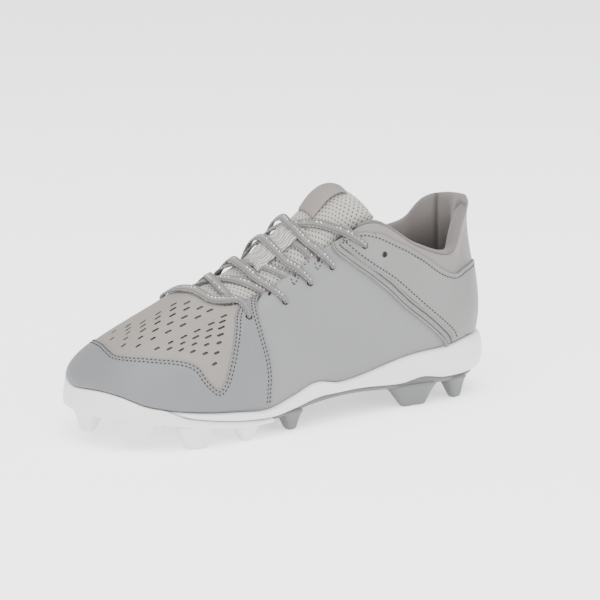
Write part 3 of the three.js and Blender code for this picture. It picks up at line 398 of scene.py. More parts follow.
# A panel of the upper cut to shape: cells of a [turn, v] grid inside the cut are kept, the corners on the
# cut's edge are moved onto it, the edge is rounded over and the underside closed. relief raises the face.
def cutPanel(name, settings, keep, surface, relief, extra=None):
    turnLow, turnHigh, vLow, vHigh = settings["reach"]
    wrapped = turnHigh - turnLow >= 360
    columns, rows = settings["cells"]
    turns = np.linspace(turnLow, turnHigh, columns, endpoint=not wrapped)
    turn, v = (grid.ravel() for grid in np.meshgrid(turns, np.linspace(vLow, vHigh, rows)))
    distance = keep(turn, v, localScale(turn, v))
    quads = gridFaces(rows, columns, wrapColumns=wrapped)[:, [0, 3, 2, 1]]
    quads = quads[distance[quads].mean(axis=1) > 0]
    uses = np.bincount(quads.ravel(), minlength=len(turn))
    edge = (uses > 0) & (uses < 4)
    slopeX, slopeY = np.zeros_like(turn), np.zeros_like(turn)
    nudge, passes, snap = 0.06, 4, settings.get("snap", 1.2)
    for _ in range(passes):
        t, w = turn[edge], v[edge]
        scale = localScale(t, w)
        off = keep(t, w, scale)
        ahead, behind = (keep(*moved(t, w, scale, step, 0), scale) for step in (nudge, -nudge))
        above, below = (keep(*moved(t, w, scale, 0, step), scale) for step in (nudge, -nudge))
        gx, gy = (ahead - behind) / (2 * nudge), (above - below) / (2 * nudge)
        square = np.maximum(gx * gx + gy * gy, 0.25)
        move = np.clip(-off / square, -snap, snap)
        turn[edge], v[edge] = moved(t, w, scale, move * gx, move * gy)
        slopeX[edge], slopeY[edge] = gx / np.sqrt(square), gy / np.sqrt(square)

    used = np.flatnonzero(uses > 0)
    place = np.full(len(turn), -1)
    place[used] = np.arange(len(used))
    onEdge = np.flatnonzero(edge)
    ringPlace = np.full(len(turn), -1)
    ringPlace[onEdge] = np.arange(len(onEdge))
    top, bottom, radius = settings["top"], settings["bottom"], settings["edge"]
    lift = top + relief(turn, v)
    scale = localScale(turn, v)

    def at(indices, inset, offset):
        local = tuple(s[indices] for s in scale)
        x, y = inset * slopeX[indices], inset * slopeY[indices]
        return upperPoint(*moved(turn[indices], v[indices], local, x, y), offset)

    shell = [at(used, np.where(edge, radius, 0.0)[used], lift[used])]
    rings = [(0.29 * radius, 0.29 * radius), (0.0, radius)]
    shell += [at(onEdge, inset, lift[onEdge] - drop) for inset, drop in rings]
    shell.append(at(used, 0.0, bottom))
    starts = np.cumsum([0] + [len(part) for part in shell])

    arrows = np.concatenate([quads[:, [k, (k + 1) % 4]] for k in range(4)])
    codes = arrows[:, 0].astype(np.int64) * len(turn) + arrows[:, 1]
    lone = arrows[~np.isin(arrows[:, 1].astype(np.int64) * len(turn) + arrows[:, 0], codes)]
    layers = [place[lone]] + [start + ringPlace[lone] for start in starts[1:-2]] + [starts[-2] + place[lone]]
    walls = [np.stack([a[:, 1], a[:, 0], b[:, 0], b[:, 1]], axis=-1) for a, b in zip(layers[:-1], layers[1:])]
    faces = np.concatenate([place[quads]] + walls + [starts[-2] + place[quads][:, ::-1]])

    flat = np.stack([turn - (turnLow + turnHigh) / 2, v], axis=-1) * mapScale
    order = np.concatenate([used, *[onEdge] * len(rings), used])
    rubbed = np.where(edge, 0.7, 0.0)[used]
    worn = np.concatenate([rubbed, *[np.ones(len(onEdge))] * len(rings), np.zeros(len(used))])
    values = {"edgeShare": worn, "underside": np.concatenate([np.zeros(starts[-2]), np.ones(len(used))])}
    for key, read in (extra or {}).items():
        values[key] = read(turn, v)[order]
    print(name, len(faces), "faces")
    return makePiece(name, np.concatenate(shell), faces, surface, flat[order], values)


# Materials, worked out from the mesh's own place or from its mm map

# sRGB in 0 to 255 as linear light
def tone(red, green, blue):
    def linear(c):
        c = c / 255
        return c / 12.92 if c <= 0.04045 else ((c + 0.055) / 1.055) ** 2.4

    return (linear(red), linear(green), linear(blue), 1.0)


# A colour times a share, held at 1
def scaled(colour, share):
    return tuple(min(1.0, c * share) for c in colour[:3]) + (1.0,)


class Surface:
    # A material's node tree, with short ways to add a node and join it
    def __init__(self, name, roughness, specular=0.5):
        self.material = bpy.data.materials.new(name)
        self.material.use_nodes = True
        self.nodes = self.material.node_tree.nodes
        self.links = self.material.node_tree.links
        self.shader = next(n for n in self.nodes if n.type == "BSDF_PRINCIPLED")
        self.shader.inputs["Roughness"].default_value = roughness
        self.shader.inputs["Specular IOR Level"].default_value = specular

    # a node with its options set and its inputs joined
    def add(self, kind, inputs=None, **options):
        made = self.nodes.new(kind)
        for key, value in options.items():
            setattr(made, key, value)
        for key, value in (inputs or {}).items():
            self.join(value, made.inputs[key])
        return made

    # a link from a socket, or a plain value set
    def join(self, value, socket):
        if isinstance(value, bpy.types.NodeSocket):
            self.links.new(value, socket)
        else:
            socket.default_value = value

    # the object's own coordinates, in metres
    def place(self):
        return self.add("ShaderNodeTexCoord").outputs["Object"]

    # the two mm coordinates of the piece's map
    def along(self):
        uv = self.add("ShaderNodeUVMap", uv_map="uvMm").outputs["UV"]
        split = self.add("ShaderNodeSeparateXYZ", {0: uv})
        return split.outputs["X"], split.outputs["Y"]

    # a number held by the mesh's points
    def value(self, name):
        return self.add("ShaderNodeAttribute", attribute_name=name).outputs["Fac"]

    # cloudy noise, about so many lumps a metre
    def noise(self, vector, size, detail=3.0):
        inputs = {"Vector": vector, "Scale": size, "Detail": detail}
        return self.add("ShaderNodeTexNoise", inputs).outputs["Fac"]

    # distance to the middle of rounded cells, about so many a metre
    def cells(self, vector, size):
        made = self.add("ShaderNodeTexVoronoi", {"Vector": vector, "Scale": size}, feature="SMOOTH_F1")
        return made.outputs["Distance"]

    def math(self, operation, a, b=0.0, c=0.0):
        return self.add("ShaderNodeMath", {0: a, 1: b, 2: c}, operation=operation).outputs[0]

    def times(self, a, b):
        return self.math("MULTIPLY", a, b)

    def minus(self, a, b):
        return self.math("SUBTRACT", a, b)

    # fromLow to fromHigh becomes toLow to toHigh, held inside
    def spread(self, value, fromLow, fromHigh, toLow=0.0, toHigh=1.0):
        names = ["Value", "From Min", "From Max", "To Min", "To Max"]
        inputs = dict(zip(names, (value, fromLow, fromHigh, toLow, toHigh)))
        return self.add("ShaderNodeMapRange", inputs).outputs["Result"]

    # sine wave of a coordinate with a period, 0 to 1
    def wave(self, coordinate, period, shift=0.0):
        turned = self.math("MULTIPLY_ADD", coordinate, 2 * math.pi / period, shift)
        return self.math("MULTIPLY_ADD", self.math("SINE", turned), 0.5, 0.5)

    # checks of crossed threads: the warp over the weft by turns
    def weave(self, u, w, period):
        warp, weft = self.wave(u, period), self.wave(w, period)
        neither = self.times(self.minus(1.0, warp), self.minus(1.0, weft))
        return self.math("MAXIMUM", self.times(warp, weft), neither)

    # a where the share is 0, b where it is 1
    def blend(self, share, a, b):
        made = self.add("ShaderNodeMix", data_type="RGBA")
        self.join(share, made.inputs["Factor"])
        self.join(a, made.inputs["A"])
        self.join(b, made.inputs["B"])
        return made.outputs["Result"]

    # the colour joined to the shader so far
    def shown(self):
        return self.shader.inputs["Base Color"].links[0].from_socket

    def colour(self, value):
        self.join(value, self.shader.inputs["Base Color"])

    # height in mm, in the order given, onto the shader
    def bumps(self, *heights):
        normal = None
        for height, depth in heights:
            inputs = {"Height": height, "Distance": depth / 1000, "Strength": 1.0}
            if normal is not None:
                inputs["Normal"] = normal
            normal = self.add("ShaderNodeBump", inputs).outputs["Normal"]
        self.links.new(normal, self.shader.inputs["Normal"])


# Synthetic leather: a fine pebble grain, cloudy tone, and a paler rubbed line along the cut edges
def leather(name, settings):
    made = Surface(name, settings["rough"], 0.4)
    place = made.place()
    cloud = made.noise(place, 22.0, 4.0)
    fleck = made.noise(place, 420.0, 2.0)
    grain = made.cells(place, 1000 / settings["grain"])
    colour = settings["colour"]
    body = made.blend(made.spread(cloud, 0.3, 0.7), scaled(colour, 0.95), scaled(colour, 1.04))
    body = made.blend(made.spread(fleck, 0.35, 0.7, 0.0, 0.35), body, scaled(colour, 0.9))
    body = made.blend(made.spread(grain, 0.0, 0.5, 0.16, 0.0), body, scaled(colour, 0.8))
    body = made.blend(made.times(made.value("edgeShare"), 0.45), body, scaled(colour, 1.12))
    made.colour(body)
    rough = made.spread(cloud, 0.25, 0.75, settings["rough"] - 0.05, settings["rough"] + 0.06)
    made.join(rough, made.shader.inputs["Roughness"])
    made.bumps((made.noise(place, 90.0, 3.0), 0.10), (grain, settings["pebble"]))
    return made


# Woven or knitted cloth: crossed waves on the mm map, with a fuzz of noise, a little sheen, and painted shade
# darkening it along creases
def cloth(name, settings):
    made = Surface(name, settings["rough"], 0.2)
    made.shader.inputs["Sheen Weight"].default_value = 0.25
    made.shader.inputs["Sheen Roughness"].default_value = 0.5
    u, w = made.along()
    place = made.place()
    weave = made.weave(u, w, settings["thread"])
    cloud = made.noise(place, 30.0, 4.0)
    fuzz = made.noise(place, 900.0, 2.0)
    colour = settings["colour"]
    body = made.blend(made.spread(cloud, 0.3, 0.7), scaled(colour, 0.93), scaled(colour, 1.05))
    body = made.blend(made.spread(weave, 0.0, 0.6, settings["gapShare"], 0.0), body, scaled(colour, 0.62))
    body = made.blend(made.spread(fuzz, 0.4, 0.7, 0.0, 0.3), body, scaled(colour, 1.1))
    # painted shade along creases: the cloth darkened by the crease share
    body = made.blend(made.value("creaseShadeShare"), body, scaled(colour, 0.35))
    made.colour(body)
    made.bumps((weave, settings["depth"]), (fuzz, 0.05))
    return made


# Moulded rubber and plastic: a faint flow texture, tiny pits and dulled patches
def moulded(name, settings):
    made = Surface(name, settings["rough"])
    place = made.place()
    flow = made.noise(place, 16.0, 3.0)
    pits = made.noise(place, 700.0, 2.0)
    scuff = made.noise(place, 60.0, 5.0)
    colour = settings["colour"]
    body = made.blend(made.spread(flow, 0.3, 0.7), scaled(colour, 0.97), scaled(colour, 1.03))
    body = made.blend(made.spread(scuff, 0.62, 0.75, 0.0, 0.3), body, scaled(colour, 0.9))
    made.colour(body)
    rough = made.spread(scuff, 0.3, 0.7, settings["rough"] - 0.08, settings["rough"] + 0.12)
    made.join(rough, made.shader.inputs["Roughness"])
    made.bumps((flow, 0.15), (pits, 0.03))
    return made


finishes = {
    "vamp": {"colour": tone(119, 114, 108), "rough": 0.55, "grain": 0.8, "pebble": 0.05},
    "toe": {"colour": tone(102, 103, 105), "rough": 0.5, "grain": 0.7, "pebble": 0.04},
    "heel": {"colour": tone(115, 114, 113), "rough": 0.5, "grain": 0.7, "pebble": 0.04},
    "quarter": {"colour": tone(113, 115, 114), "rough": 0.5, "grain": 0.7, "pebble": 0.04},
    "strap": {"colour": tone(115, 108, 105), "rough": 0.6, "grain": 0.5, "pebble": 0.03},
    "flap": {"colour": tone(123, 119, 117), "thread": 1.0, "depth": 0.15},
    "lining": {"colour": tone(103, 98, 96), "rough": 0.95, "thread": 0.9, "depth": 0.12, "gapShare": 0.45},
    "mesh": {"colour": tone(156, 153, 147), "rough": 0.9, "thread": 0.8, "depth": 0.1, "gapShare": 0.2},
    "webbing": {"colour": tone(125, 119, 116), "rough": 0.85, "thread": 1.1, "depth": 0.12, "gapShare": 0.25},
    "white": {"colour": tone(210, 209, 208), "rough": 0.42},
    "grey": {"colour": tone(92, 93, 94), "rough": 0.45},
}

leatherVamp = leather("vampLeather", finishes["vamp"])
leatherToe = leather("toeLeather", finishes["toe"])
leatherHeel = leather("heelLeather", finishes["heel"])
liningCloth = cloth("liningCloth", finishes["lining"])
whiteRubber = moulded("whiteRubber", finishes["white"])
greyRubber = moulded("greyRubber", finishes["grey"])
strapLeather = leather("strapLeather", finishes["strap"])


# The shell's finishes: smooth quarters, the woven heel flap by flapShare, the lining's cloth by underside,
# painted a quarter darker as shade inside the shoe, and near-black painted shade seen through the vamp's
# slots, by the share under the vamp
def shellFinish():
    made = leather("shellLeather", finishes["quarter"])
    place = made.place()
    u, w = made.along()
    leatherBody = made.shown()
    weave = made.weave(u, w, finishes["flap"]["thread"])
    flap = finishes["flap"]["colour"]
    flapBody = made.blend(made.spread(weave, 0.0, 0.6, 0.3, 0.0), flap, scaled(flap, 0.75))
    cloud = made.spread(made.noise(place, 40.0), 0.35, 0.7, 0.0, 0.4)
    flapBody = made.blend(cloud, flapBody, scaled(flap, 0.9))
    body = made.blend(made.value("flapShare"), leatherBody, flapBody)
    lining = finishes["lining"]["colour"]
    # the lining's colour painted a quarter darker here, as shade inside the shoe
    body = made.blend(made.value("underside"), body, scaled(lining, 0.75))
    # near-black painted shade under the vamp, seen through its slots
    body = made.blend(made.value("slotShadeShare"), body, tone(42, 41, 40))
    made.colour(body)
    woven = made.times(weave, made.value("flapShare"))
    grain = made.cells(place, 1400.0)
    made.bumps((made.noise(place, 90.0), 0.1), (grain, 0.04), (woven, finishes["flap"]["depth"]))
    return made


shellLeather = shellFinish()


# Dark thread with cloudy tone and a fine fuzz; its darkness is partly the thread's own colour and partly
# painted shade of the recessed stitch holes
def threadFinish():
    made = Surface("seamThread", 0.8, 0.2)
    place = made.place()
    # thread colour darkened partly as painted shade of the stitch recesses
    colour = tone(50, 50, 49)
    cloud = made.spread(made.noise(place, 500.0), 0.35, 0.7)
    made.colour(made.blend(cloud, scaled(colour, 0.8), scaled(colour, 1.15)))
    made.bumps((made.noise(place, 2500.0, 1.0), 0.05))
    return made


seamThread = threadFinish()

# Cuts and seams, as lines of [turn, v]

eyelets = {
    "outer": [(118.5, 0.705), (104.5, 0.7), (96.8, 0.742), (89.7, 0.772), (78.5, 0.847), (71.2, 0.8)],
    "inner": [(224.0, 0.82), (242.0, 0.76), (255.0, 0.75), (264.0, 0.77), (276.0, 0.83), (285.0, 0.82)],
}
slitRows = [(112.8, 114.4), (103, 105), (95.3, 96.5), (233, 231.5), (249, 247.5), (259.5, 258)]
slitDepth, slitRadii, eyeletRadius = 13.0, [0.5, 0.8, 1.9], 2.0
toeSeam = [
    (121.8, 0.16), (123, 0.178), (126, 0.235), (129.6, 0.323), (134, 0.378), (140.6, 0.41), (147, 0.413),
    (153, 0.397), (159, 0.376), (165.6, 0.375), (172, 0.413), (182, 0.455), (194, 0.445), (204, 0.41),
    (213, 0.36), (219, 0.27), (224, 0.15),
]
wingFront = [
    (121.8, 0.16), (120.6, 0.2), (120, 0.292), (120.2, 0.405), (121.2, 0.527), (123, 0.652), (126.2, 0.815),
    (128.5, 0.985),
]
wingRear = [(104.3, 0.02), (104.6, 0.2), (106, 0.31), (108.8, 0.445), (118, 0.86), (119.7, 0.985)]
innerWingFront = [(224, 0.15), (226, 0.3), (225.5, 0.45), (221, 0.65), (216, 0.84), (213, 0.985)]
innerWingRear = [(246, 0.02), (244.5, 0.25), (241, 0.45), (234, 0.75), (231, 0.88), (229.5, 0.985)]
frontSeam = wingFront[::-1] + toeSeam[1:] + innerWingFront[1:]
ankleFront = [
    (40.3, 0.02), (41.2, 0.076), (45.7, 0.208), (53.6, 0.389), (61.4, 0.542), (66.7, 0.617), (74.2, 0.681),
    (81.4, 0.784), (87.3, 0.91), (90, 0.985),
]
ankleTop = [
    (90, 0.985), (80, 0.95), (74.9, 0.925), (68.7, 0.925), (62.7, 0.945), (57.2, 0.92), (51, 0.845),
    (45, 0.773), (34.7, 0.618), (17, 0.54), (0, 0.52),
]
bandLine = [
    (90.6, 0.985), (89.4, 0.925), (81.8, 0.765), (73, 0.64), (68.2, 0.585), (60.6, 0.46), (54.6, 0.35),
    (48.2, 0.2), (44, 0.08), (42.8, 0.02),
]


# A smooth [turn, v] line with its points so many mm apart
def curve(line, spacing=2.5):
    return smoothLine(line, spacing, mapScale)


# The line on the shoe's other side: turn about the heel at 0 or the toe at 180
def mirrored(line, about=0):
    return [(2 * about - turn, v) for turn, v in line]


# The line's points from last to first
def backward(line):
    return np.asarray(line)[::-1]


# Depth of a flex slit as a share of the rib's chord
def slitShare(tip):
    return slitDepth / float(np.linalg.norm(ribPoint(tip, 1.0) - ribPoint(tip, 0.0)))


slitCuts = []
for tip, mouth in slitRows:
    share = slitShare(tip)
    cutLine = [(tip, 1 - share), (tip + (mouth - tip) * 0.3, 1 - 0.7 * share), (mouth, 1.05)]
    slitCuts.append((cutLine, slitRadii))
eyeletCuts = [([spot, spot], [eyeletRadius] * 2) for side in eyelets.values() for spot in side]
holes = outsideCuts(slitCuts + eyeletCuts)


# Room left below the top line and above the sole, in mm
def betweenLines(turn, v, scale):
    return scale[2] * np.minimum(1 - v, v)


print("shell")
shellPiece = {"reach": (0, 360, -0.06, 1.06), "cells": (460, 70), "top": 0.0, "bottom": -1.8, "edge": 0.5}


# 1 on the woven flap behind the collar, above the ankle panel's top line
def flapShare(turn, v):
    t = np.mod(turn + 180, 360) - 180
    line = np.array(sorted((a, b) for a, b in ankleTop))
    return (np.abs(t) < 89) * (v > np.interp(np.abs(t), line[:, 0], line[:, 1]) - 0.02)


# 1 under the perforated vamp, painted near-black as the shade seen through its slots
def underVamp(turn, v):
    return ((turn > 118) & (turn < 228) & (v > 0.2) & (v < 0.975)).astype(float)


# Rows of folds, and the same on the shoe's other side
def bothSides(rows, about=0):
    return rows + [(mirrored(line, about), width, depth) for line, width, depth in rows]


# Soft forms pressed into the quarters: a hollow behind the wing, creases fanning from the flex zone and the
# heel. Each is a [turn, v] line, its width and its height in mm.
shellFolds = bothSides([
    ([(112, 0.25), (104, 0.5), (100, 0.7)], 5.0, -0.5), ([(96, 0.15), (99, 0.45), (101, 0.62)], 4.0, 0.35),
    ([(84, 0.3), (88, 0.5), (86, 0.7)], 6.0, -0.35), ([(58, 0.2), (70, 0.42), (80, 0.6)], 5.0, 0.3),
    ([(28, 0.62), (33, 0.8), (36, 0.93)], 3.0, -0.45),
], 180) + [([(0, 0.56), (0, 0.97)], 3.0, -0.35)]


# Troughs and ridges: each line's height times a bell of the distance over its width
def folds(rows):
    def read(turn, v):
        scale = localScale(turn, v)
        height = np.zeros(np.shape(turn))
        for line, width, depth in rows:
            height += depth * np.exp(-(lineDistance(turn, v, scale, curve(line, 6.0)) / width) ** 2)
        return height

    return read


shell = cutPanel(
    "upper_shell", shellPiece, allOf(betweenLines, holes), shellLeather,
    folds(shellFolds), extra={"flapShare": flapShare, "slotShadeShare": underVamp},
)
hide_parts("upper")

print("toe guard and ankle panel")
toeArea = np.vstack([
    curve(wingRear), curve(frontSeam), backward(curve(innerWingRear)),
    [(200, 0.01), (175, 0.01), (150, 0.01), (125, 0.01)],
])
ankleArea = np.vstack([
    curve(ankleFront), curve(ankleTop)[1:], backward(curve(mirrored(ankleTop)))[1:],
    backward(curve(mirrored(ankleFront)))[1:], [(-20, 0.015), (0, 0.015), (20, 0.015)],
])


# The line moved sideways by inset mm; side is 1 to the left of its way and -1 to the right
def stitchLine(line, inset, side):
    fine = curve(line, 1.2)
    scale = localScale(fine[:, 0], fine[:, 1])
    step = np.gradient(fine, axis=0)
    x = scale[0] * step[:, 0] + scale[1] * step[:, 1]
    y = scale[2] * step[:, 1]
    length = np.maximum(np.hypot(x, y), 1e-6)
    shift = side * inset / length
    return np.stack(moved(fine[:, 0], fine[:, 1], scale, -shift * y, shift * x), axis=1)


toeSeams = [
    stitchLine(line, inset, side)
    for line, side in [(frontSeam, -1), (wingRear, -1), (innerWingRear, 1)] for inset in (1.4, 3.4)
]
ankleSeams = []
for line, inset in [(ankleTop, 2.0), (ankleFront, 3.0)]:
    ankleSeams += [stitchLine(line, inset, 1), stitchLine(mirrored(line), inset, -1)]
groovePiece = {"depth": 0.28, "width": 0.9}


# Panel face pressed in along its stitch lines by a bell of the distance to them
def grooves(lines):
    def read(turn, v):
        scale = localScale(turn, v)
        least = np.minimum.reduce([lineDistance(turn, v, scale, line[::2]) for line in lines])
        return -groovePiece["depth"] * np.exp(-(least / groovePiece["width"]) ** 2)

    return read


toePiece = {"reach": (98, 252, -0.01, 1.0), "cells": (330, 95), "top": 1.4, "bottom": -0.3, "edge": 0.4}
toeKeep = allOf(insideArea(toeArea), holes)
toeGuard = cutPanel("toe_guard_wrap", toePiece, toeKeep, leatherToe, grooves(toeSeams))
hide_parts("toe_guard")

anklePiece = {"reach": (-93, 93, -0.01, 1.0), "cells": (330, 90), "top": 1.2, "bottom": -0.3, "edge": 0.5}
ankleFolds = folds(bothSides([
    ([(30, 0.2), (36, 0.35), (40, 0.55)], 6.0, 0.5), ([(52, 0.55), (56, 0.72), (60, 0.84)], 5.0, -0.4),
]))
ankleGrooves = grooves(ankleSeams)


# Inside the ankle panel, whose turns run on below 0, and outside the holes, whose turns don't
def ankleKeep(turn, v, scale):
    return np.minimum(insideArea(ankleArea)(turn, v, scale), holes(np.mod(turn, 360), v, scale))


anklePanel = cutPanel(
    "ankle_wrap", anklePiece, ankleKeep, leatherHeel,
    lambda turn, v: ankleFolds(turn, v) + ankleGrooves(turn, v),
)
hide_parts("ankle_panel")

print("vamp")
# Slots punched in the vamp along the foot: lines of [turn, v] with the number of slots on each
slotColumns = [
    ([(132.2, 0.845), (126.8, 0.558), (125.2, 0.352)], 7), ([(136, 0.773), (132.2, 0.6), (130, 0.45)], 5),
    ([(140.2, 0.698), (137.3, 0.588), (135.2, 0.48)], 4),
    ([(144.2, 0.63), (142.2, 0.568), (140.6, 0.503)], 3), ([(148, 0.565), (146.2, 0.51)], 2),
    ([(151.4, 0.492)], 1), ([(167.4, 0.465), (174, 0.57), (183.5, 0.637)], 5),
    ([(160, 0.48), (166, 0.603), (174.6, 0.685)], 5), ([(157, 0.562), (162.8, 0.68), (171.6, 0.768)], 5),
    ([(153.6, 0.645), (160, 0.77), (168.6, 0.858)], 5), ([(149.8, 0.728), (156.8, 0.858), (160.6, 0.9)], 4),
    ([(146, 0.825), (149.4, 0.903)], 2), ([(142.8, 0.91)], 1), ([(181.6, 0.51), (188.4, 0.56)], 2),
]
slotSize = {"length": 4.8, "lowLength": 3.84, "radius": 0.8, "apart": 5.2, "lean": -0.32}
vampPiece = {
    "reach": (112, 234, 0.12, 1.0), "cells": (300, 175), "top": 0.7, "bottom": 0.1, "edge": 0.12, "snap": 0.5,
}
vampArea = np.vstack([
    curve([(118.5, 0.12), (116.5, 0.3), (116.2, 0.45), (119, 0.62), (123.5, 0.85), (126, 0.985)]),
    [(140, 0.985), (160, 0.985), (180, 0.985), (200, 0.985), (214, 0.985)],
    backward(curve([(227, 0.13), (229, 0.3), (228, 0.45), (223, 0.65), (218, 0.84), (214.5, 0.985)]))[1:],
    [(222, 0.14), (215, 0.25), (204, 0.3), (194, 0.29), (180, 0.31), (165, 0.28), (150, 0.3), (141, 0.3),
     (132, 0.25), (126, 0.17)],
])


# Slots evenly along each line, those near the outer side again on the inner side where there is room. Each is
# a short stroke along the foot that leans down toward the toe.
def slotCuts():
    spots = []
    for line, count in slotColumns:
        if count == 1:
            spots.append(line[0])
            continue
        fine = curve(line, 0.5)
        spots += [tuple(row) for row in fine[np.linspace(0, len(fine) - 1, count).astype(int)]]
    places = [ribPoint(turn, v) for turn, v in spots]
    for turn, v in [(360 - turn - 8 * (turn < 153), v) for turn, v in spots if turn < 166]:
        if min(np.linalg.norm(ribPoint(turn, v) - place) for place in places) > slotSize["apart"]:
            spots.append((turn, v))
            places.append(ribPoint(turn, v))
    cuts = []
    for turn, v in spots:
        around = (ribPoint(turn + 0.25, v) - ribPoint(turn - 0.25, v)) * 2
        up = (ribPoint(turn, v + 0.005) - ribPoint(turn, v - 0.005)) * 100
        stroke = np.array([1.0, 0, slotSize["lean"]])
        way = np.linalg.lstsq(np.stack([around, up], axis=1), stroke, rcond=None)[0]
        reach = (slotSize["length"] if v > 0.6 else slotSize["lowLength"]) / 2 - slotSize["radius"]
        ends = [(turn + side * way[0] * reach, v + side * way[1] * reach) for side in (-1, 1)]
        cuts.append((ends, [slotSize["radius"]] * 2))
    return cuts


vampFolds = folds([
    ([(130, 0.9), (128, 0.6), (124, 0.4)], 4.0, 0.25), ([(150, 0.95), (165, 0.9), (185, 0.93)], 3.5, -0.3),
])
vampKeep = allOf(insideArea(vampArea), outsideCuts(slotCuts()))
cutPanel("vamp_punched", vampPiece, vampKeep, leatherVamp, vampFolds)

print("stitches")


# One stitch: a short rounded bead along x, as rings of a capsule
def beadShape(length, radius):
    along = np.array([-0.5, -0.46, -0.3, 0.3, 0.46, 0.5]) * length
    wide = np.array([0.35, 0.75, 1.0, 1.0, 0.75, 0.35]) * radius
    angle = circleSteps(6)
    return stacked(along[:, None], wide[:, None] * np.cos(angle), wide[:, None] * np.sin(angle))


# Beads set along lines of [turn, v] at a pitch, on the panel's face
def stitches(name, lines, height):
    tubes = []
    bead = beadShape(stitchSize["length"], stitchSize["radius"])
    for line in lines:
        spots = smoothLine(upperPoint(line[:, 0], line[:, 1], height), stitchSize["pitch"])
        marks = curve(line, stitchSize["pitch"] * 0.5)
        spotShares, markShares = np.linspace(0, 1, len(spots)), np.linspace(0, 1, len(marks))
        normal = ribNormal(*(np.interp(spotShares, markShares, marks[:, k]) for k in (0, 1)))
        way = unit(np.gradient(spots, axis=0))
        side = unit(np.cross(normal, way))
        normal = np.cross(way, side)
        for spot, x, y, z in zip(spots[1:-1], way[1:-1], side[1:-1], normal[1:-1]):
            rings = spot + bead[..., :1] * x + bead[..., 1:2] * y + bead[..., 2:] * z
            tubes.append((rings, bead[..., :2]))
    tubePiece(name, tubes, seamThread)


stitchSize = {"length": 1.4, "radius": 0.42, "pitch": 2.6, "throatGap": 2.4, "slitGap": 2.6}


# A row beside the throat's edge, its gap over the rib's height there
def throatRow(turns):
    height = np.linalg.norm(ribPoint(turns, 1.0) - ribPoint(turns, 0.8), axis=1) * 5
    return np.stack([turns, 1 - stitchSize["throatGap"] / height], axis=1)


# A row down one side of a flex slit, round its tip and up the other
def slitRow(tip, mouth):
    low = 1 - slitShare(tip)
    wide = stitchSize["slitGap"] / float(localScale(tip, 0.9)[0])
    starts = [(mouth + side * wide * 1.2, 0.95) for side in (-1, 1)]
    bends = [(tip + side * wide, low + 0.02) for side in (-1, 1)]
    return curve([starts[0], bends[0], (tip, low - 0.035), bends[1], starts[1]], 1.2)


throatRows = [throatRow(np.linspace(low, high, 40)) for low, high in [(98.5, 103), (249.5, 257), (261, 274)]]
throatRows += [slitRow(tip, mouth) for tip, mouth in slitRows if not 106 < tip < 240]
stitches("toe_guard_stitches", toeSeams, 1.2)
stitches("throat_stitches", throatRows, -0.05)
stitches("ankle_stitches", ankleSeams, 1.05)


# A cord swept along a path: rings of a section turned to the path and to a normal, its width times the share
# wide and its height changed a little the other way
def sweep(path, normal, section, wide=1.0):
    way = unit(np.gradient(path, axis=0))
    side = unit(np.cross(way, normal))
    rise = np.cross(side, way)
    across = section[None, :, :1] * np.reshape(wide, (-1, 1, 1))
    up = section[None, :, 1:] * (1 + 0.35 * (1 - np.reshape(wide, (-1, 1, 1))))
    rings = path[:, None] + side[:, None] * across + rise[:, None] * up
    return rings, tubeMap(runLength(path), np.linspace(0, 14, len(section), endpoint=False))


# Tongue, keeper and pull strap share one arch along the foot, read from its rows by the cubic of neighbours
def archRow(s, column):
    rows = tongueRows[:, column]
    place = np.clip(s, 0, 1) * (len(rows) - 1)
    i = np.minimum(np.floor(place).astype(int), len(rows) - 2)
    p, q, r, t = (rows[np.clip(i + k, 0, len(rows) - 1)] for k in (-1, 0, 1, 2))
    return neighbourCubic(p, q, r, t, place - i)


# A point over the tongue: s from its front end to its top, angle from its crown, lift above its outer face
def tonguePoint(s, angle, lift=0.0):
    s, angle, lift = (part.astype(float) for part in np.broadcast_arrays(s, angle, lift))
    width, depth = shoe["tongueHalfWidth"] * archRow(s, 2), shoe["tongueHalfWidth"] * archRow(s, 3)
    ahead, behind = s + 0.02, s - 0.02
    riseX = shoe["length"] * (archRow(ahead, 0) - archRow(behind, 0))
    riseZ = shoe["backHeight"] * (archRow(ahead, 1) - archRow(behind, 1))
    size = np.hypot(riseX, riseZ)
    upX, upZ = riseZ / size, -riseX / size
    side, over = np.sin(np.radians(angle)), np.cos(np.radians(angle))
    slip = -depth * (1 - over) * 0.35 + lift * over
    return stacked(
        shoe["length"] * archRow(s, 0) + upX * slip,
        -0.02 * halfBall + (width + lift) * side,
        shoe["backHeight"] * archRow(s, 1) + upZ * slip - depth * (1 - over) * 0.65,
    )


archSteps = np.linspace(0, 1, 2001)
archShares = archRow(archSteps, 0)


# Place along the arch for a distance from the heel, as a share of the length
def archPlace(share):
    return np.interp(-np.asarray(share, float), -archShares, archSteps)


# Nearest points of the upper's face, to tuck the tongue under its wall
tuckGrid = np.meshgrid(np.linspace(60, 300, 241), np.linspace(0.55, 1.0, 46))
tuckTurn, tuckV = (grid.ravel() for grid in tuckGrid)
tuckPoint, tuckNormal = upperPoint(tuckTurn, tuckV), ribNormal(tuckTurn, tuckV)


# Points that stand less than gap under the upper's face are pushed in to it, fading to none at the top line
def tucked(points, gap):
    flat = points.reshape(-1, 3).copy()
    for start in range(0, len(flat), 2000):
        part = flat[start:start + 2000]
        apart = ((part[:, None, :] - tuckPoint[None, :, :]) ** 2).sum(axis=-1)
        nearest = apart.argmin(axis=1)
        height = ((part - tuckPoint[nearest]) * tuckNormal[nearest]).sum(axis=1)
        under = smoothStep((1 - tuckV[nearest]) / 0.05)
        part -= tuckNormal[nearest] * (np.maximum(height + gap, 0) * under)[:, None]
    return flat.reshape(points.shape)


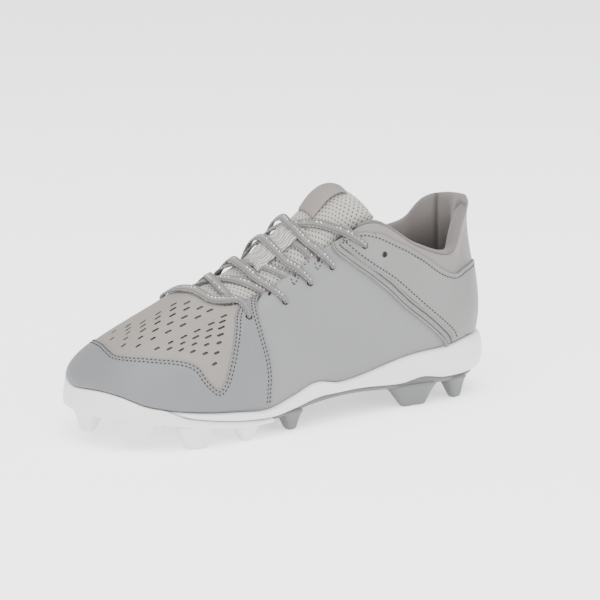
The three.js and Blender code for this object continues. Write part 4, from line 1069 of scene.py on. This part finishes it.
print("tongue")
tonguePiece = {
    "rows": 270, "columns": 128, "end": 73.0, "thickness": 4.5, "pad": 1.3, "padRun": 7.0, "edgeDrop": 1.6,
    "edgeRun": 2.2, "mapHalf": 29.0, "mapLength": 160.0, "dotPitch": 3.3, "dotDepth": 0.5, "endBack": 14.0,
    "endRise": 3.5, "outerGap": 2.4, "innerGap": 5.5,
}
rowShares = np.linspace(0, 1, tonguePiece["rows"])
s, share = np.meshgrid(rowShares, np.linspace(-1, 1, tonguePiece["columns"]), indexing="ij")
taper = 1 + 0.13 * smoothStep((s - 0.62) / 0.22) - 0.1 * smoothStep((s - 0.95) / 0.05)
tongueAngle = share * tonguePiece["end"] * taper
mapU = share * tonguePiece["mapHalf"]
mapV = runLength(tonguePoint(rowShares, 0.0))[:, None] + 0 * share
edgeDip = (1 - np.abs(share)) * tonguePiece["mapHalf"]
edgeDip = np.minimum(edgeDip, np.minimum(1 - s, s) * tonguePiece["mapLength"])
puff = tonguePiece["pad"] * (smoothStep(edgeDip / tonguePiece["padRun"]) - 0.5)
puff -= tonguePiece["edgeDrop"] * (1 - smoothStep(edgeDip / tonguePiece["edgeRun"]))
# Dimples in staggered rows: the distance from the nearest dot, every other row shifted by half a pitch
dotPitch = tonguePiece["dotPitch"]
row = np.round(mapV / (dotPitch / 2))
dotU = mapU - dotPitch / 2 * np.mod(row, 2)
dotDistance = np.hypot(dotU - dotPitch * np.round(dotU / dotPitch), mapV - row * dotPitch / 2)
dots = 1 - smoothStep((dotDistance - 0.3) / 0.45)
# The top end runs back along both sides and lifts there, to meet the collar
endShare = smoothStep((s - 0.7) / 0.3)
sideShare = np.sin(np.radians(tongueAngle)) ** 2
endBack = tonguePiece["endRise"] - tonguePiece["endBack"] * sideShare
endUp = tonguePiece["endRise"] * smoothStep((np.abs(tongueAngle) - 58) / 22)
endShift = stacked(endShare * endBack, 0.0, endShare * endUp)
outerLift, innerLift = puff - tonguePiece["dotDepth"] * dots, -tonguePiece["thickness"] - 0.6 * puff
outerFace = tucked(endShift + tonguePoint(s, tongueAngle, outerLift), tonguePiece["outerGap"])
innerFace = tucked(endShift + tonguePoint(s, tongueAngle, innerLift), tonguePiece["innerGap"])
tongueRings = np.concatenate([outerFace, innerFace[:, ::-1]], axis=1)
tongueU, tongueV = np.concatenate([mapU, -mapU[:, ::-1]], axis=1), np.concatenate([mapV, mapV], axis=1)


# Perforations in staggered rows painted dark as the shade in their holes, from the distance on the mm map to
# the nearest one
def meshFinish():
    made = cloth("tongueMesh", finishes["mesh"])
    body = made.shown()
    u, w = made.along()
    rowPlace = made.times(w, 2 / dotPitch)
    row = made.math("ROUND", rowPlace)
    shift = made.times(made.math("FLOORED_MODULO", row, 2.0), 0.5)
    column = made.minus(made.times(u, 1 / dotPitch), shift)
    du = made.times(made.minus(column, made.math("ROUND", column)), dotPitch)
    dw = made.times(made.minus(rowPlace, row), dotPitch / 2)
    apart = made.math("SQRT", made.math("ADD", made.times(du, du), made.times(dw, dw)))
    # dark dots: painted shade in the perforations
    made.colour(made.blend(made.spread(apart, 0.4, 0.62, 0.9, 0.0), body, tone(66, 62, 60)))
    return made


tongueMap = np.stack([tongueU, tongueV], axis=-1)
tongue = tubePiece("tongue_padded", [(tongueRings, tongueMap)], meshFinish(), "tongue")

print("collar lining")
collarPiece = {
    "reach": 82.0, "stations": 240, "thickness": 6.8, "roll": 2.2, "fine": 4, "runCorner": 20, "fade": 26.0,
    "creaseTurn": 22.0, "creaseWidth": 2.2, "heelWidth": 15.0,
}
turns = np.linspace(-collarPiece["reach"], collarPiece["reach"], collarPiece["stations"])
full = np.minimum(1, (collarPiece["reach"] - np.abs(turns)) / collarPiece["fade"] + 0.3)
crease = np.exp(-(((np.abs(turns) - collarPiece["creaseTurn"]) / collarPiece["creaseWidth"]) ** 2))
heel = np.exp(-(turns / collarPiece["heelWidth"]) ** 2)
thick = collarPiece["thickness"] * full * (1 + 0.3 * heel - 0.4 * crease)
wallHeight = np.linalg.norm(ribPoint(turns, 0.0) - ribPoint(turns, 1.0), axis=1)
roll = collarPiece["roll"] / wallHeight
back = -(shoe["wall"] + 0.2)
corners = [
    (0.5, back), (0.64, back), (0.78, back), (0.93, back), (1 + roll * 0.5, back + 0.9),
    (1 + roll, back - 0.25 * thick), (1 + roll * 0.9, back - 0.62 * thick), (0.985, back - 0.88 * thick),
    (0.88, back - thick), (0.76, back - 0.85 * thick), (0.62, back - 0.5 * thick), (0.5, back - 1.0),
]
control = np.stack([upperPoint(turns, v, offset) for v, offset in corners], axis=1)


# Closed ring smoothed through its corners: each span is a cubic of four neighbours
def smoothRing(control, fine):
    near = [np.roll(control, k, axis=1) for k in (1, 0, -1, -2)]
    spans = [neighbourCubic(*near, k / fine) for k in range(fine)]
    return np.stack(spans, axis=2).reshape(control.shape[0], -1, 3)


collarRings = smoothRing(control, collarPiece["fine"])
ringSize = collarRings.shape[1]
collarMap = tubeMap(runLength(collarRings[:, collarPiece["runCorner"]]), np.linspace(0, 90, ringSize))
# the lining is also painted darker along the heel creases, as shade in them
collar = tubePiece(
    "collar_padding", [(collarRings, collarMap)], liningCloth, "collar_lining",
    {"creaseShadeShare": 0.7 * np.repeat(crease ** 2, ringSize)},
)

print("sole")


# A closed form between two turns: at each station the profile's points on the outer side, then on the inner
def soleForm(turnLow, turnHigh, stations, profile):
    turns = np.linspace(turnLow, turnHigh, stations)
    rows = profile(turns)
    outer = np.stack([solePoint(turns, inset, z) for inset, z in rows], axis=1)
    inner = np.stack([solePoint(-turns, inset, z) for inset, z in rows], axis=1)
    rings = np.concatenate([outer, inner[:, ::-1]], axis=1)
    return rings, tubeMap(turns * mapScale[0], np.linspace(0, 120, rings.shape[1]))


rimHeight = shoe["rimHeight"]
solePiece = {"bedInset": 13.0, "rimWidth": 5.5, "plateThickness": 3.0, "split": 0.62, "heelBulge": 2.6}
splitTurn = math.degrees(math.acos(1 - 2 * solePiece["split"]))
midsoleTurn = math.degrees(math.acos(1 - 2 * shoe["midsoleEnd"]))


# Rows of inset and height: from the bed over the rim, down a side that bulges by a sine, and back underneath
def midsoleProfile(turns):
    rim, split, bed = (rimHeight * level[name](turns) for name in ("rim", "split", "bed"))
    under = rimHeight * level["plate"](turns) + solePiece["plateThickness"] + 0.3
    fade = 7.0 * smoothStep((turns - midsoleTurn + 12) / 12)
    bulge = shoe["rimBulge"] + solePiece["heelBulge"] * np.exp(-((turns / 42) ** 2))
    rows = [(solePiece["bedInset"], bed), (solePiece["rimWidth"], rim), (1.6 + fade, rim)]
    for t in np.linspace(0.0, 1.0, 13):
        swell = np.sin(math.pi * t) ** 0.75 if 0 < t < 1 else 0.0
        z = rim - 0.25 + (split + 0.25 - (rim - 0.25)) * (0.5 - 0.5 * math.cos(math.pi * t))
        rows.append((0.9 - (0.9 + bulge) * swell + fade, z))
    return rows + [(1.6 + fade, split), (solePiece["bedInset"], under)]


# Rows of inset and height: under the midsole at the back and up to the rim at the front, and out to the edge
def outsoleProfile(edge):
    def profile(turns):
        rim, split, plate, bed = (rimHeight * level[name](turns) for name in ("rim", "split", "plate", "bed"))
        ahead = smoothStep((turns - midsoleTurn + 9) / 9)
        top = (split - 0.3) * (1 - ahead) + rim * ahead
        floor = (plate + solePiece["plateThickness"]) * (1 - ahead) + bed * ahead
        inset = 0.6 * ahead + (0.6 + max(edge, 0)) * (1 - ahead)
        rows = [(solePiece["bedInset"], floor), (solePiece["rimWidth"], top), (inset + 0.9, top)]
        low = plate + 1.5
        for t in np.linspace(0.0, 1.0, 9):
            swell = np.sin(math.pi * t * 0.5)
            rows.append((inset + (edge - inset) * swell, top - 0.3 + (low - top + 0.3) * t))
        rows += [(edge + 0.35, plate + 0.7), (edge + 1.1, plate + 0.15), (edge + 2.4, plate)]
        return rows + [(solePiece["bedInset"], plate)]

    return profile


# turn, inset, root length and width, tip length and width, height of the tip, groove
frontStuds = [
    (175, 1, 20, 13, 10, 6, 7.5, 0), (149.5, 1, 27, 15, 14, 6.5, 4.5, 0), (128, 1, 23, 15, 13, 6.5, 0, 0),
    (111, 1, 17, 13, 6.5, 6, 0, 0), (199, 9, 17, 13, 9, 6, 9.5, 0), (220, 3, 22, 14, 12, 6.5, 6, 0),
    (241, 1, 23, 15, 12, 6.5, 0, 0), (251, 1, 16, 13, 7, 6, 0, 0), (132, 44, 17, 13, 8, 6, 3.2, 0),
    (115, 41, 17, 13, 8, 6, 1, 0),
]
rearStuds = [
    (96, 2, 15, 13, 6.5, 6, 0, 0), (56, 1.5, 34, 15, 18, 6.5, 0, 3), (35, 2, 16, 14, 7.5, 6, 0, 0),
    (264, 2, 15, 13, 7, 6, 0, 0), (305, 1.5, 32, 15, 17, 6.5, 0, 3), (325, 2, 16, 14, 7.5, 6, 0, 0),
]


# A stud: rounded blocks of a squared-off oval, flared where they meet the plate and eased at the tip
def studTube(row):
    turn, inset, root, rootWidth, tip, tipWidth, foot, groove = row
    inward = -outward(turn)
    along = np.array([-inward[1], inward[0], 0.0])
    edge = soleEdge(turn) + inward * inset
    plate = rimHeight * float(level["plate"](turn))
    oval = squaredOval(circleSteps(40, 0.5), 0.55, 0.55)
    deep = plate - foot
    # rise in mm, share of the way from root to tip, and growth in mm
    steps = [
        (2.0, 0.0, 0.0), (0.1, 0.0, 1.8), (-0.5, 0.02, 0.8), (-1.3, 0.06, 0.2), (-0.3 * deep, 0.3, 0),
        (-0.6 * deep, 0.62, 0), (-0.85 * deep, 0.87, 0), (1.0 - deep, 0.97, -0.1), (0.4 - deep, 1.0, -0.6),
        (0.08 - deep, 1.0, -1.3), (-deep, 1.0, -2.0),
    ]
    rings = []
    for rise, share, grow in steps:
        length = root + (tip - root) * share + grow
        width = rootWidth + (tipWidth - rootWidth) * share + grow
        centre = edge + inward * ((rootWidth / 2) * (1 - share) + (tipWidth / 2 + 1.8) * share)
        ring = centre + oval[:, :1] * length / 2 * along + oval[:, 1:] * width / 2 * inward
        ring[:, 2] = plate + rise
        if groove:
            notch = np.exp(-((oval[:, 0] * length / groove) ** 2))
            ring[:, 2] += 1.6 * notch * smoothStep((share - 0.8) / 0.15)
        rings.append(ring)
    return np.array(rings), tubeMap(np.arange(len(steps)), np.arange(len(oval)))


# A long rib under the shank: rows of place, width and turn, with one section scaled to the width
def shankRib(across):
    rows = [(0.27, 5, 64), (0.335, 7.5, 71), (0.4, 9, 78), (0.5, 9, 90), (0.575, 6, 98)]
    section = [(-1, 0), (-0.72, -2.6), (-0.5, -3.8), (-0.2, -4), (0.2, -4), (0.5, -3.8), (0.72, -2.6), (1, 0)]
    rings = []
    for along, width, turn in rows:
        x, base = shoe["length"] * along, rimHeight * float(level["plate"](turn)) + 1
        rings.append([(x, across + y * width / 2, base + z) for y, z in section])
    rings = np.array(rings, float)
    return rings, np.zeros(rings.shape[:2] + (2,))


midsoleTubes = [soleForm(0, midsoleTurn + 1, 200, midsoleProfile)]
frontTubes = [soleForm(splitTurn + 0.15, 180, 160, outsoleProfile(-shoe["rimBulge"]))]
frontTubes += [studTube(row) for row in frontStuds]
rearTubes = [soleForm(0, splitTurn, 160, outsoleProfile(2.8))] + [studTube(row) for row in rearStuds]
rearTubes += [shankRib(-0.22 * halfBall), shankRib(0.26 * halfBall)]
tubePiece("midsole_moulded", midsoleTubes, whiteRubber, "midsole")
tubePiece("outsole_front_moulded", frontTubes, whiteRubber, "outsole_front")
tubePiece("outsole_rear_moulded", rearTubes, greyRubber, "outsole_rear")


# Rows of inset and height: a flat middle with its edge turned up along the upper's wall
def insoleProfile(turns):
    inset = shoe["upperInset"] + shoe["wall"] + 1.4
    under = rimHeight * level["bed"](turns) + 0.9
    lift = rimHeight * level["rim"](turns) - rimHeight * level["bed"](turns)
    side = under + lift
    return [
        (solePiece["bedInset"], under), (inset, side), (inset - 0.1, side + 1.6), (inset + 0.5, side + 2.9),
        (inset + 1.5, under + lift * 0.8 + 3.5), (solePiece["bedInset"], under + 4.0),
    ]


insoleRings = soleForm(0, 180, 180, insoleProfile)[0]
insole = tubePiece("insole_lined", [(insoleRings, insoleRings[..., :2])], liningCloth, "insole")

print("side bands")
bandPiece = {
    "width": 7.0, "welt": 1.5, "height": 2.5, "foot": 0.75, "floor": 1.25, "groove": 0.7, "side": 0.25,
    "relief": 0.14,
}


# Taped band: the heel's leather with pale slanted threads that turn back at the middle, and a dark line of
# painted shade in the groove beside the piping
def bandFinish():
    made = leather("bandLeather", finishes["heel"])
    body = made.shown()
    u, w = made.along()
    middle = made.math("ABSOLUTE", made.minus(w, bandPiece["width"] / 2))
    tape = made.spread(middle, 1.55, 1.8, 1.0, 0.0)
    threads = made.wave(made.math("ADD", u, made.times(middle, 0.9)), 1.7)
    colour = finishes["heel"]["colour"]
    body = made.blend(made.times(tape, made.spread(threads, 0.2, 0.8, 0.0, 0.6)), body, scaled(colour, 1.55))
    body = made.blend(made.times(tape, made.spread(threads, 0.0, 0.3, 0.5, 0.0)), body, scaled(colour, 0.5))
    # painted shade: a dark line in the groove beside the piping
    line = made.spread(made.math("ABSOLUTE", made.minus(middle, 1.85)), 0.1, 0.28, 0.75, 0.0)
    made.colour(made.blend(line, body, scaled(colour, 0.35)))
    made.bumps((made.times(tape, threads), 0.3))
    return made


bandTape = bandFinish()


# Raised band: piping along both edges and a low woven relief of crossed ridges between them
def sideBand(name, side, node):
    line = curve(bandLine, 0.5)
    line[:, 0] *= side
    at = upperPoint(line[:, 0], line[:, 1])
    normal = ribNormal(line[:, 0], line[:, 1])
    rear = unit(np.cross(np.gradient(at, axis=0), normal)) * side
    width, welt, past = bandPiece["width"], bandPiece["welt"], bandPiece["side"]
    shift = np.concatenate([[-past], np.linspace(0, width, 44), [width + past]])
    fromEdge = np.minimum(shift, width - shift)
    piping = np.clip(fromEdge / welt, 0, 1)
    dome = bandPiece["foot"] + (bandPiece["height"] - bandPiece["foot"]) * np.sqrt(1 - (2 * piping - 1) ** 2)
    lift = np.where(fromEdge < welt, dome, bandPiece["floor"])
    lift = lift - bandPiece["groove"] * np.exp(-(((fromEdge - welt - 0.25) / 0.3) ** 2))
    lift = np.where(fromEdge < 0, -0.5, lift)
    run = runLength(at)
    inside = smoothStep((fromEdge - welt - 0.2) / 0.4)
    place, lean = run[:, None], shift * 0.9
    ridges = np.sin(2 * math.pi * (place + lean) / 2.3) * np.sin(2 * math.pi * (place - lean) / 2.9)
    flat = at[:, None] + rear[:, None] * (shift[:, None] - width / 2)
    face = flat + normal[:, None] * (lift + bandPiece["relief"] * ridges * inside)[..., None]
    rings = np.concatenate([face, flat[:, ::-1] - normal[:, None] * 0.6], axis=1)
    edgeShare = np.tile(np.concatenate([np.where(fromEdge < welt, 0.8, 0.0), 0 * shift]), len(at))
    around = np.concatenate([shift, shift])
    tubePiece(name, [(rings, tubeMap(run, around))], bandTape, node, {"edgeShare": edgeShare})


sideBand("side_band_trim_outer", 1, "side_band_outer")
sideBand("side_band_trim_inner", -1, "side_band_inner")

# Folded edges along the ankle panel's top line and down both of its fronts, as thin tubes on its face
edgePiece = {"radius": 0.9, "frontRadius": 0.65, "lift": 0.75, "frontLift": 0.95}


# A round tube along a line, lift mm above the upper
def foldTube(line, radius, lift):
    angle = circleSteps(10)
    section = radius * np.stack([np.cos(angle), np.sin(angle)], axis=1)
    return sweep(upperPoint(line[:, 0], line[:, 1], lift), ribNormal(line[:, 0], line[:, 1]), section)


topFold = curve(np.vstack([ankleTop[2:], backward(mirrored(ankleTop))[1:-2]]), 1.5)
foldTubes = [foldTube(topFold, edgePiece["radius"], edgePiece["lift"])]
for line in (ankleFront, mirrored(ankleFront)):
    foldTubes.append(foldTube(curve(line, 1.5), edgePiece["frontRadius"], edgePiece["frontLift"]))
tubePiece("ankle_folded_edge", foldTubes, leatherHeel, values={"edgeShare": 0.4})

print("pull strap and keeper")
strapPiece = {"width": 16.5, "thickness": 1.6, "from": 0.445, "to": 0.353, "centre": 8.0, "standOff": 3.0}
keeperPiece = {"width": 14.5, "thickness": 1.3, "from": 0.59, "to": 0.468, "centre": 16.0}


# A flat strap over the tongue's arch: lift gives its height along it, its edges are rounded, and ridge adds a
# relief to its face
def archStrap(name, settings, lift, surface, node, ridge):
    places = np.linspace(archPlace(settings["from"]), archPlace(settings["to"]), 90)
    share = np.linspace(0, 1, 90)
    half = math.degrees(settings["width"] / 2 / shoe["tongueHalfWidth"])
    across = np.linspace(-1, 1, 25)
    ease = 0.45 * np.maximum(np.abs(across) - 0.93, 0) / 0.07 * settings["thickness"]
    height = lift(share)[:, None]
    angle = settings["centre"] + half * across
    top = height + settings["thickness"] - ease + ridge(share[:, None], across)
    face = tonguePoint(places[:, None], angle, top)
    under = tonguePoint(places[:, None], angle[::-1], height + ease[::-1])
    rings = np.concatenate([face, under], axis=1)
    width = across * settings["width"] / 2
    strapMap = tubeMap(runLength(face[:, len(across) // 2]), np.concatenate([width, width[::-1]]))
    edgeShare = np.tile((np.abs(across) > 0.9) * 0.6, 2 * len(places))
    tubePiece(name, [(rings, strapMap)], surface, node, {"edgeShare": edgeShare})


archStrap(
    "pull_strap_band", strapPiece, lambda t: 0.3 + strapPiece["standOff"] * np.sin(math.pi * t) ** 0.7,
    strapLeather, "pull_strap", lambda t, a: 0.0,
)


# Webbing: the cloth with pale wavy threads along it
def webbingFinish():
    made = cloth("webbing", finishes["webbing"])
    u, w = made.along()
    body = made.shown()
    bend = made.math("MULTIPLY_ADD", made.math("SINE", made.times(u, 0.45)), 0.7, w)
    lines = made.spread(made.wave(bend, 1.6), 0.6, 0.9)
    made.colour(made.blend(made.times(lines, 0.6), body, tone(206, 203, 200)))
    return made


# Wavy lengthwise ridges, and a ribbed bar over the webbing's lower end
def keeperRidge(t, a):
    bar = smoothStep((0.11 - t) / 0.03)
    return (1 - bar) * 0.25 * np.sin(a * 19 + 0.9 * np.sin(t * 14)) + bar * (0.9 + 0.25 * np.sin(a * 34))


archStrap(
    "lace_keeper_webbing", keeperPiece,
    lambda t: 0.3 + 3.0 * np.minimum(1, np.minimum(t / 0.2, (1 - t) / 0.2)) ** 0.8,
    webbingFinish(), "lace_keeper", keeperRidge,
)

print("laces")
lacePiece = {"width": 5.7, "thickness": 1.9, "corners": 28, "spacing": 0.7, "ridge": 0.04, "ridges": 14}


# Flat braid: slanted strands, dark lines along it, and pale flecks in rows broken up by noise
def laceFinish():
    made = Surface("laceCord", 0.85, 0.2)
    made.shader.inputs["Sheen Weight"].default_value = 0.2
    u, w = made.along()
    place = made.place()
    colour = tone(131, 128, 126)
    slant = made.wave(made.math("ADD", u, made.times(w, 0.8)), 0.9)
    strands = made.math("MULTIPLY_ADD", made.wave(w, 1.0), 0.6, 0.4)
    braid = made.times(made.math("MULTIPLY_ADD", slant, 0.5, 0.5), strands)
    cloud = made.noise(place, 60.0)
    body = made.blend(made.spread(cloud, 0.3, 0.7), scaled(colour, 0.7), scaled(colour, 0.86))
    body = made.blend(made.spread(braid, 0.15, 0.75, 0.65, 0.0), body, scaled(colour, 0.5))
    lines = made.spread(made.wave(w, 7 / 3, math.pi / 2), 0.72, 0.95, 0.0, 0.85)
    body = made.blend(lines, body, scaled(colour, 0.32))
    fleckRow = made.spread(made.wave(w, 3.5, -3.64), 0.88, 0.95)
    fleckStep = made.spread(made.wave(made.math("ADD", u, made.times(w, 0.9)), 2.6), 0.72, 0.86)
    fleckPatch = made.spread(made.noise(place, 210.0, 1.0), 0.46, 0.56, 0.0, 0.9)
    fleck = made.times(made.times(fleckRow, fleckStep), fleckPatch)
    made.colour(made.blend(fleck, body, tone(250, 249, 248)))
    made.bumps((braid, 0.22))
    return made


laceCord = laceFinish()
angle = circleSteps(lacePiece["corners"])
laceSection = squaredOval(angle, 0.75, 0.6) * [lacePiece["width"] / 2, lacePiece["thickness"] / 2]
laceSection *= 1 + lacePiece["ridge"] * np.cos(lacePiece["ridges"] * angle)[:, None]


# Stops of a strand: ("eyelet", side, row) dives through its hole, ("edge", turn, lift) crosses the throat's
# edge, and (share, angle, lift) lies over the tongue
def laceStrand(stops):
    rows = []
    base = lacePiece["thickness"] / 2
    for place, stop in enumerate(stops):
        if stop[0] == "eyelet":
            turn, v = eyelets[stop[1]][stop[2]]
            normal = ribNormal(turn, v)
            lifts = [(-5.0, 0.34), (-1.2, 0.34), (1.3, 0.42)]
            for lift, width in lifts if place == 0 else lifts[::-1]:
                rows.append([*upperPoint(turn, v, lift), *normal, width])
        elif stop[0] == "edge":
            rows.append([*upperPoint(stop[1], 1.0, base + stop[2]), *ribNormal(stop[1], 1.0), 1.0])
        else:
            s = archPlace(stop[0])
            point = tonguePoint(s, stop[1], base + 0.3 + stop[2])
            rows.append([*point, *unit(point - tonguePoint(s, stop[1], -2.0)), 1.0])
    line = smoothLine(rows, lacePiece["spacing"], np.array([1, 1, 1, 0.01, 0.01, 0.01, 0.01]))
    return sweep(line[:, :3], unit(line[:, 3:6]), laceSection, line[:, 6])


laceRows = {
    "lace_bar_cord": ("lace_bar", [
        [("eyelet", "outer", 0), ("edge", 129, 1.0), ("edge", 146, 1.0), ("edge", 165, 1.2),
         ("edge", 184, 1.2), ("edge", 203, 1.0), ("eyelet", "inner", 0)],
    ]),
    "lace_cords_1": ("lace_row_1", [
        [("eyelet", "outer", 1), ("edge", 115.6, 1.2), (0.6, 39.5, 2.2), (0.606, 24, 3.0), (0.609, 8, 3.8),
         (0.606, -12, 4.4), (0.614, -32, 3.0), (0.63, -48, 1.0), (0.648, -66, -1.5)],
        [(0.578, 74, -2.5), (0.591, 63, 0.2), (0.605, 51, 0.3), (0.619, 39, 0.4), (0.634, 26, 0.5),
         (0.65, 11, 0.7), (0.666, -6, 1.0), (0.684, -22, 1.4), (0.71, -38, 1.2), (0.735, -56, -1.5)],
        [(0.64, -58, -1.0), (0.654, -30, 3.0), (0.667, -8, 3.4), (0.673, 12, 2.9), (0.673, 28, 1.8),
         (0.67, 41, 0.6), (0.667, 53, 0.1), (0.655, 66, -2.5)],
    ]),
    "lace_cords_2": ("lace_row_2", [
        [("eyelet", "outer", 2), ("edge", 104.4, 1.4), (0.53, 46, 2.4), (0.537, 30, 3.5), (0.538, 14, 4.8),
         (0.536, 0, 5.4), (0.54, -22, 5.2), (0.556, -44, 2.4), (0.575, -64, -1.5)],
        [(0.515, 74, -2.5), (0.532, 63, 0.2), (0.55, 50, 0.4), (0.568, 35, 0.6), (0.583, 21, 0.9),
         (0.597, 6, 1.2), (0.61, -9, 1.6), (0.625, -27, 2.2), (0.645, -46, 1.4), ("edge", 237.5, 1.2),
         ("eyelet", "inner", 1)],
    ]),
    "lace_cords_3": ("lace_row_3", [
        [("eyelet", "outer", 3), ("edge", 96.6, 1.6), (0.479, 42, 3.0), (0.483, 26, 4.0), (0.483, 9, 5.0),
         (0.479, -5, 5.6), (0.484, -22, 5.4), (0.5, -44, 2.5), (0.52, -64, -1.5)],
        [("eyelet", "outer", 4), ("edge", 86.2, 1.0), (0.416, 59, 0.9), (0.433, 46, 1.0), (0.449, 33, 1.0),
         (0.464, 22, 1.2), (0.481, 8, 1.6), (0.494, -8, 2.4), (0.508, -26, 3.0), (0.522, -46, 1.8),
         (0.54, -64, -1.5)],
        [(0.46, 77, -2.5), (0.477, 67, 0.2), (0.486, 51, 0.4), (0.495, 36, 0.6), (0.505, 24, 0.9),
         (0.517, 8, 1.2), (0.529, -8, 1.9), (0.545, -28, 2.4), (0.562, -46, 1.6), ("edge", 250, 1.2),
         ("eyelet", "inner", 2)],
    ]),
}
for name, (node, strands) in laceRows.items():
    tubePiece(name, [laceStrand(stops) for stops in strands], laceCord, node)

# Studio: a pale flat floor, soft overhead light, and the camera at the photograph's angle
studio = {
    "target": (0.0093, 0.0002, 0.0529), "back": (0.5012, 0.8342, 0.2300), "distance": 1.4818, "lens": 140.7,
    "shift": (0.049, 0.0543), "floorGlow": 0.9, "floorHalf": 12, "floorSteps": 13, "sky": 1.53,
}
target, back = Vector(studio["target"]), Vector(studio["back"])
cameraData = bpy.data.cameras.new("studioCamera")
cameraData.lens = studio["lens"]
cameraData.sensor_width = 36.0
cameraData.shift_x, cameraData.shift_y = studio["shift"]
cameraData.clip_end = 60.0
camera = bpy.data.objects.new("studioCamera", cameraData)
camera.location = target + back * studio["distance"]
camera.rotation_euler = back.to_track_quat("Z", "Y").to_euler()
bpy.context.scene.collection.objects.link(camera)
bpy.context.scene.camera = camera


# Nearly white with a faint cloud, and a glow of its own so that it stays pale
def floorFinish():
    made = Surface("studioFloor", 0.9, 0.2)
    cloud = made.noise(made.place(), 3.0, 2.0)
    made.colour(made.blend(cloud, tone(250, 250, 250), tone(253, 253, 253)))
    made.shader.inputs["Emission Color"].default_value = (1, 1, 1, 1)
    made.shader.inputs["Emission Strength"].default_value = studio["floorGlow"]
    return made


side = np.linspace(-studio["floorHalf"], studio["floorHalf"], studio["floorSteps"])
floorMesh = bpy.data.meshes.new("studioFloor")
floorGrid = stacked(*np.meshgrid(side, side), 0.0).reshape(-1, 3)
floorMesh.from_pydata(floorGrid.tolist(), [], gridFaces(len(side), len(side)).tolist())
floorMesh.materials.append(floorFinish().material)
floor = bpy.data.objects.new("studioFloor", floorMesh)
bpy.context.scene.collection.objects.link(floor)

lights = {
    "softTop": {"at": (0.3, 0.5, 2.2), "size": 2.6, "power": 78.0},
    "softFront": {"at": (1.9, 1.4, 1.1), "size": 1.8, "power": 37.0},
    "softSide": {"at": (-1.2, 2.2, 1.0), "size": 1.8, "power": 27.0},
}
for name, row in lights.items():
    data = bpy.data.lights.new(name, "AREA")
    data.energy, data.size = row["power"], row["size"]
    lamp = bpy.data.objects.new(name, data)
    lamp.location = row["at"]
    lamp.rotation_euler = (Vector(row["at"]) - Vector((0, 0, 0.05))).to_track_quat("Z", "Y").to_euler()
    bpy.context.scene.collection.objects.link(lamp)
world = bpy.data.worlds.new("studioWorld")
world.use_nodes = True
sky = next(n for n in world.node_tree.nodes if n.type == "BACKGROUND")
sky.inputs["Color"].default_value = (1, 1, 1, 1)
sky.inputs["Strength"].default_value = studio["sky"]
bpy.context.scene.world = world
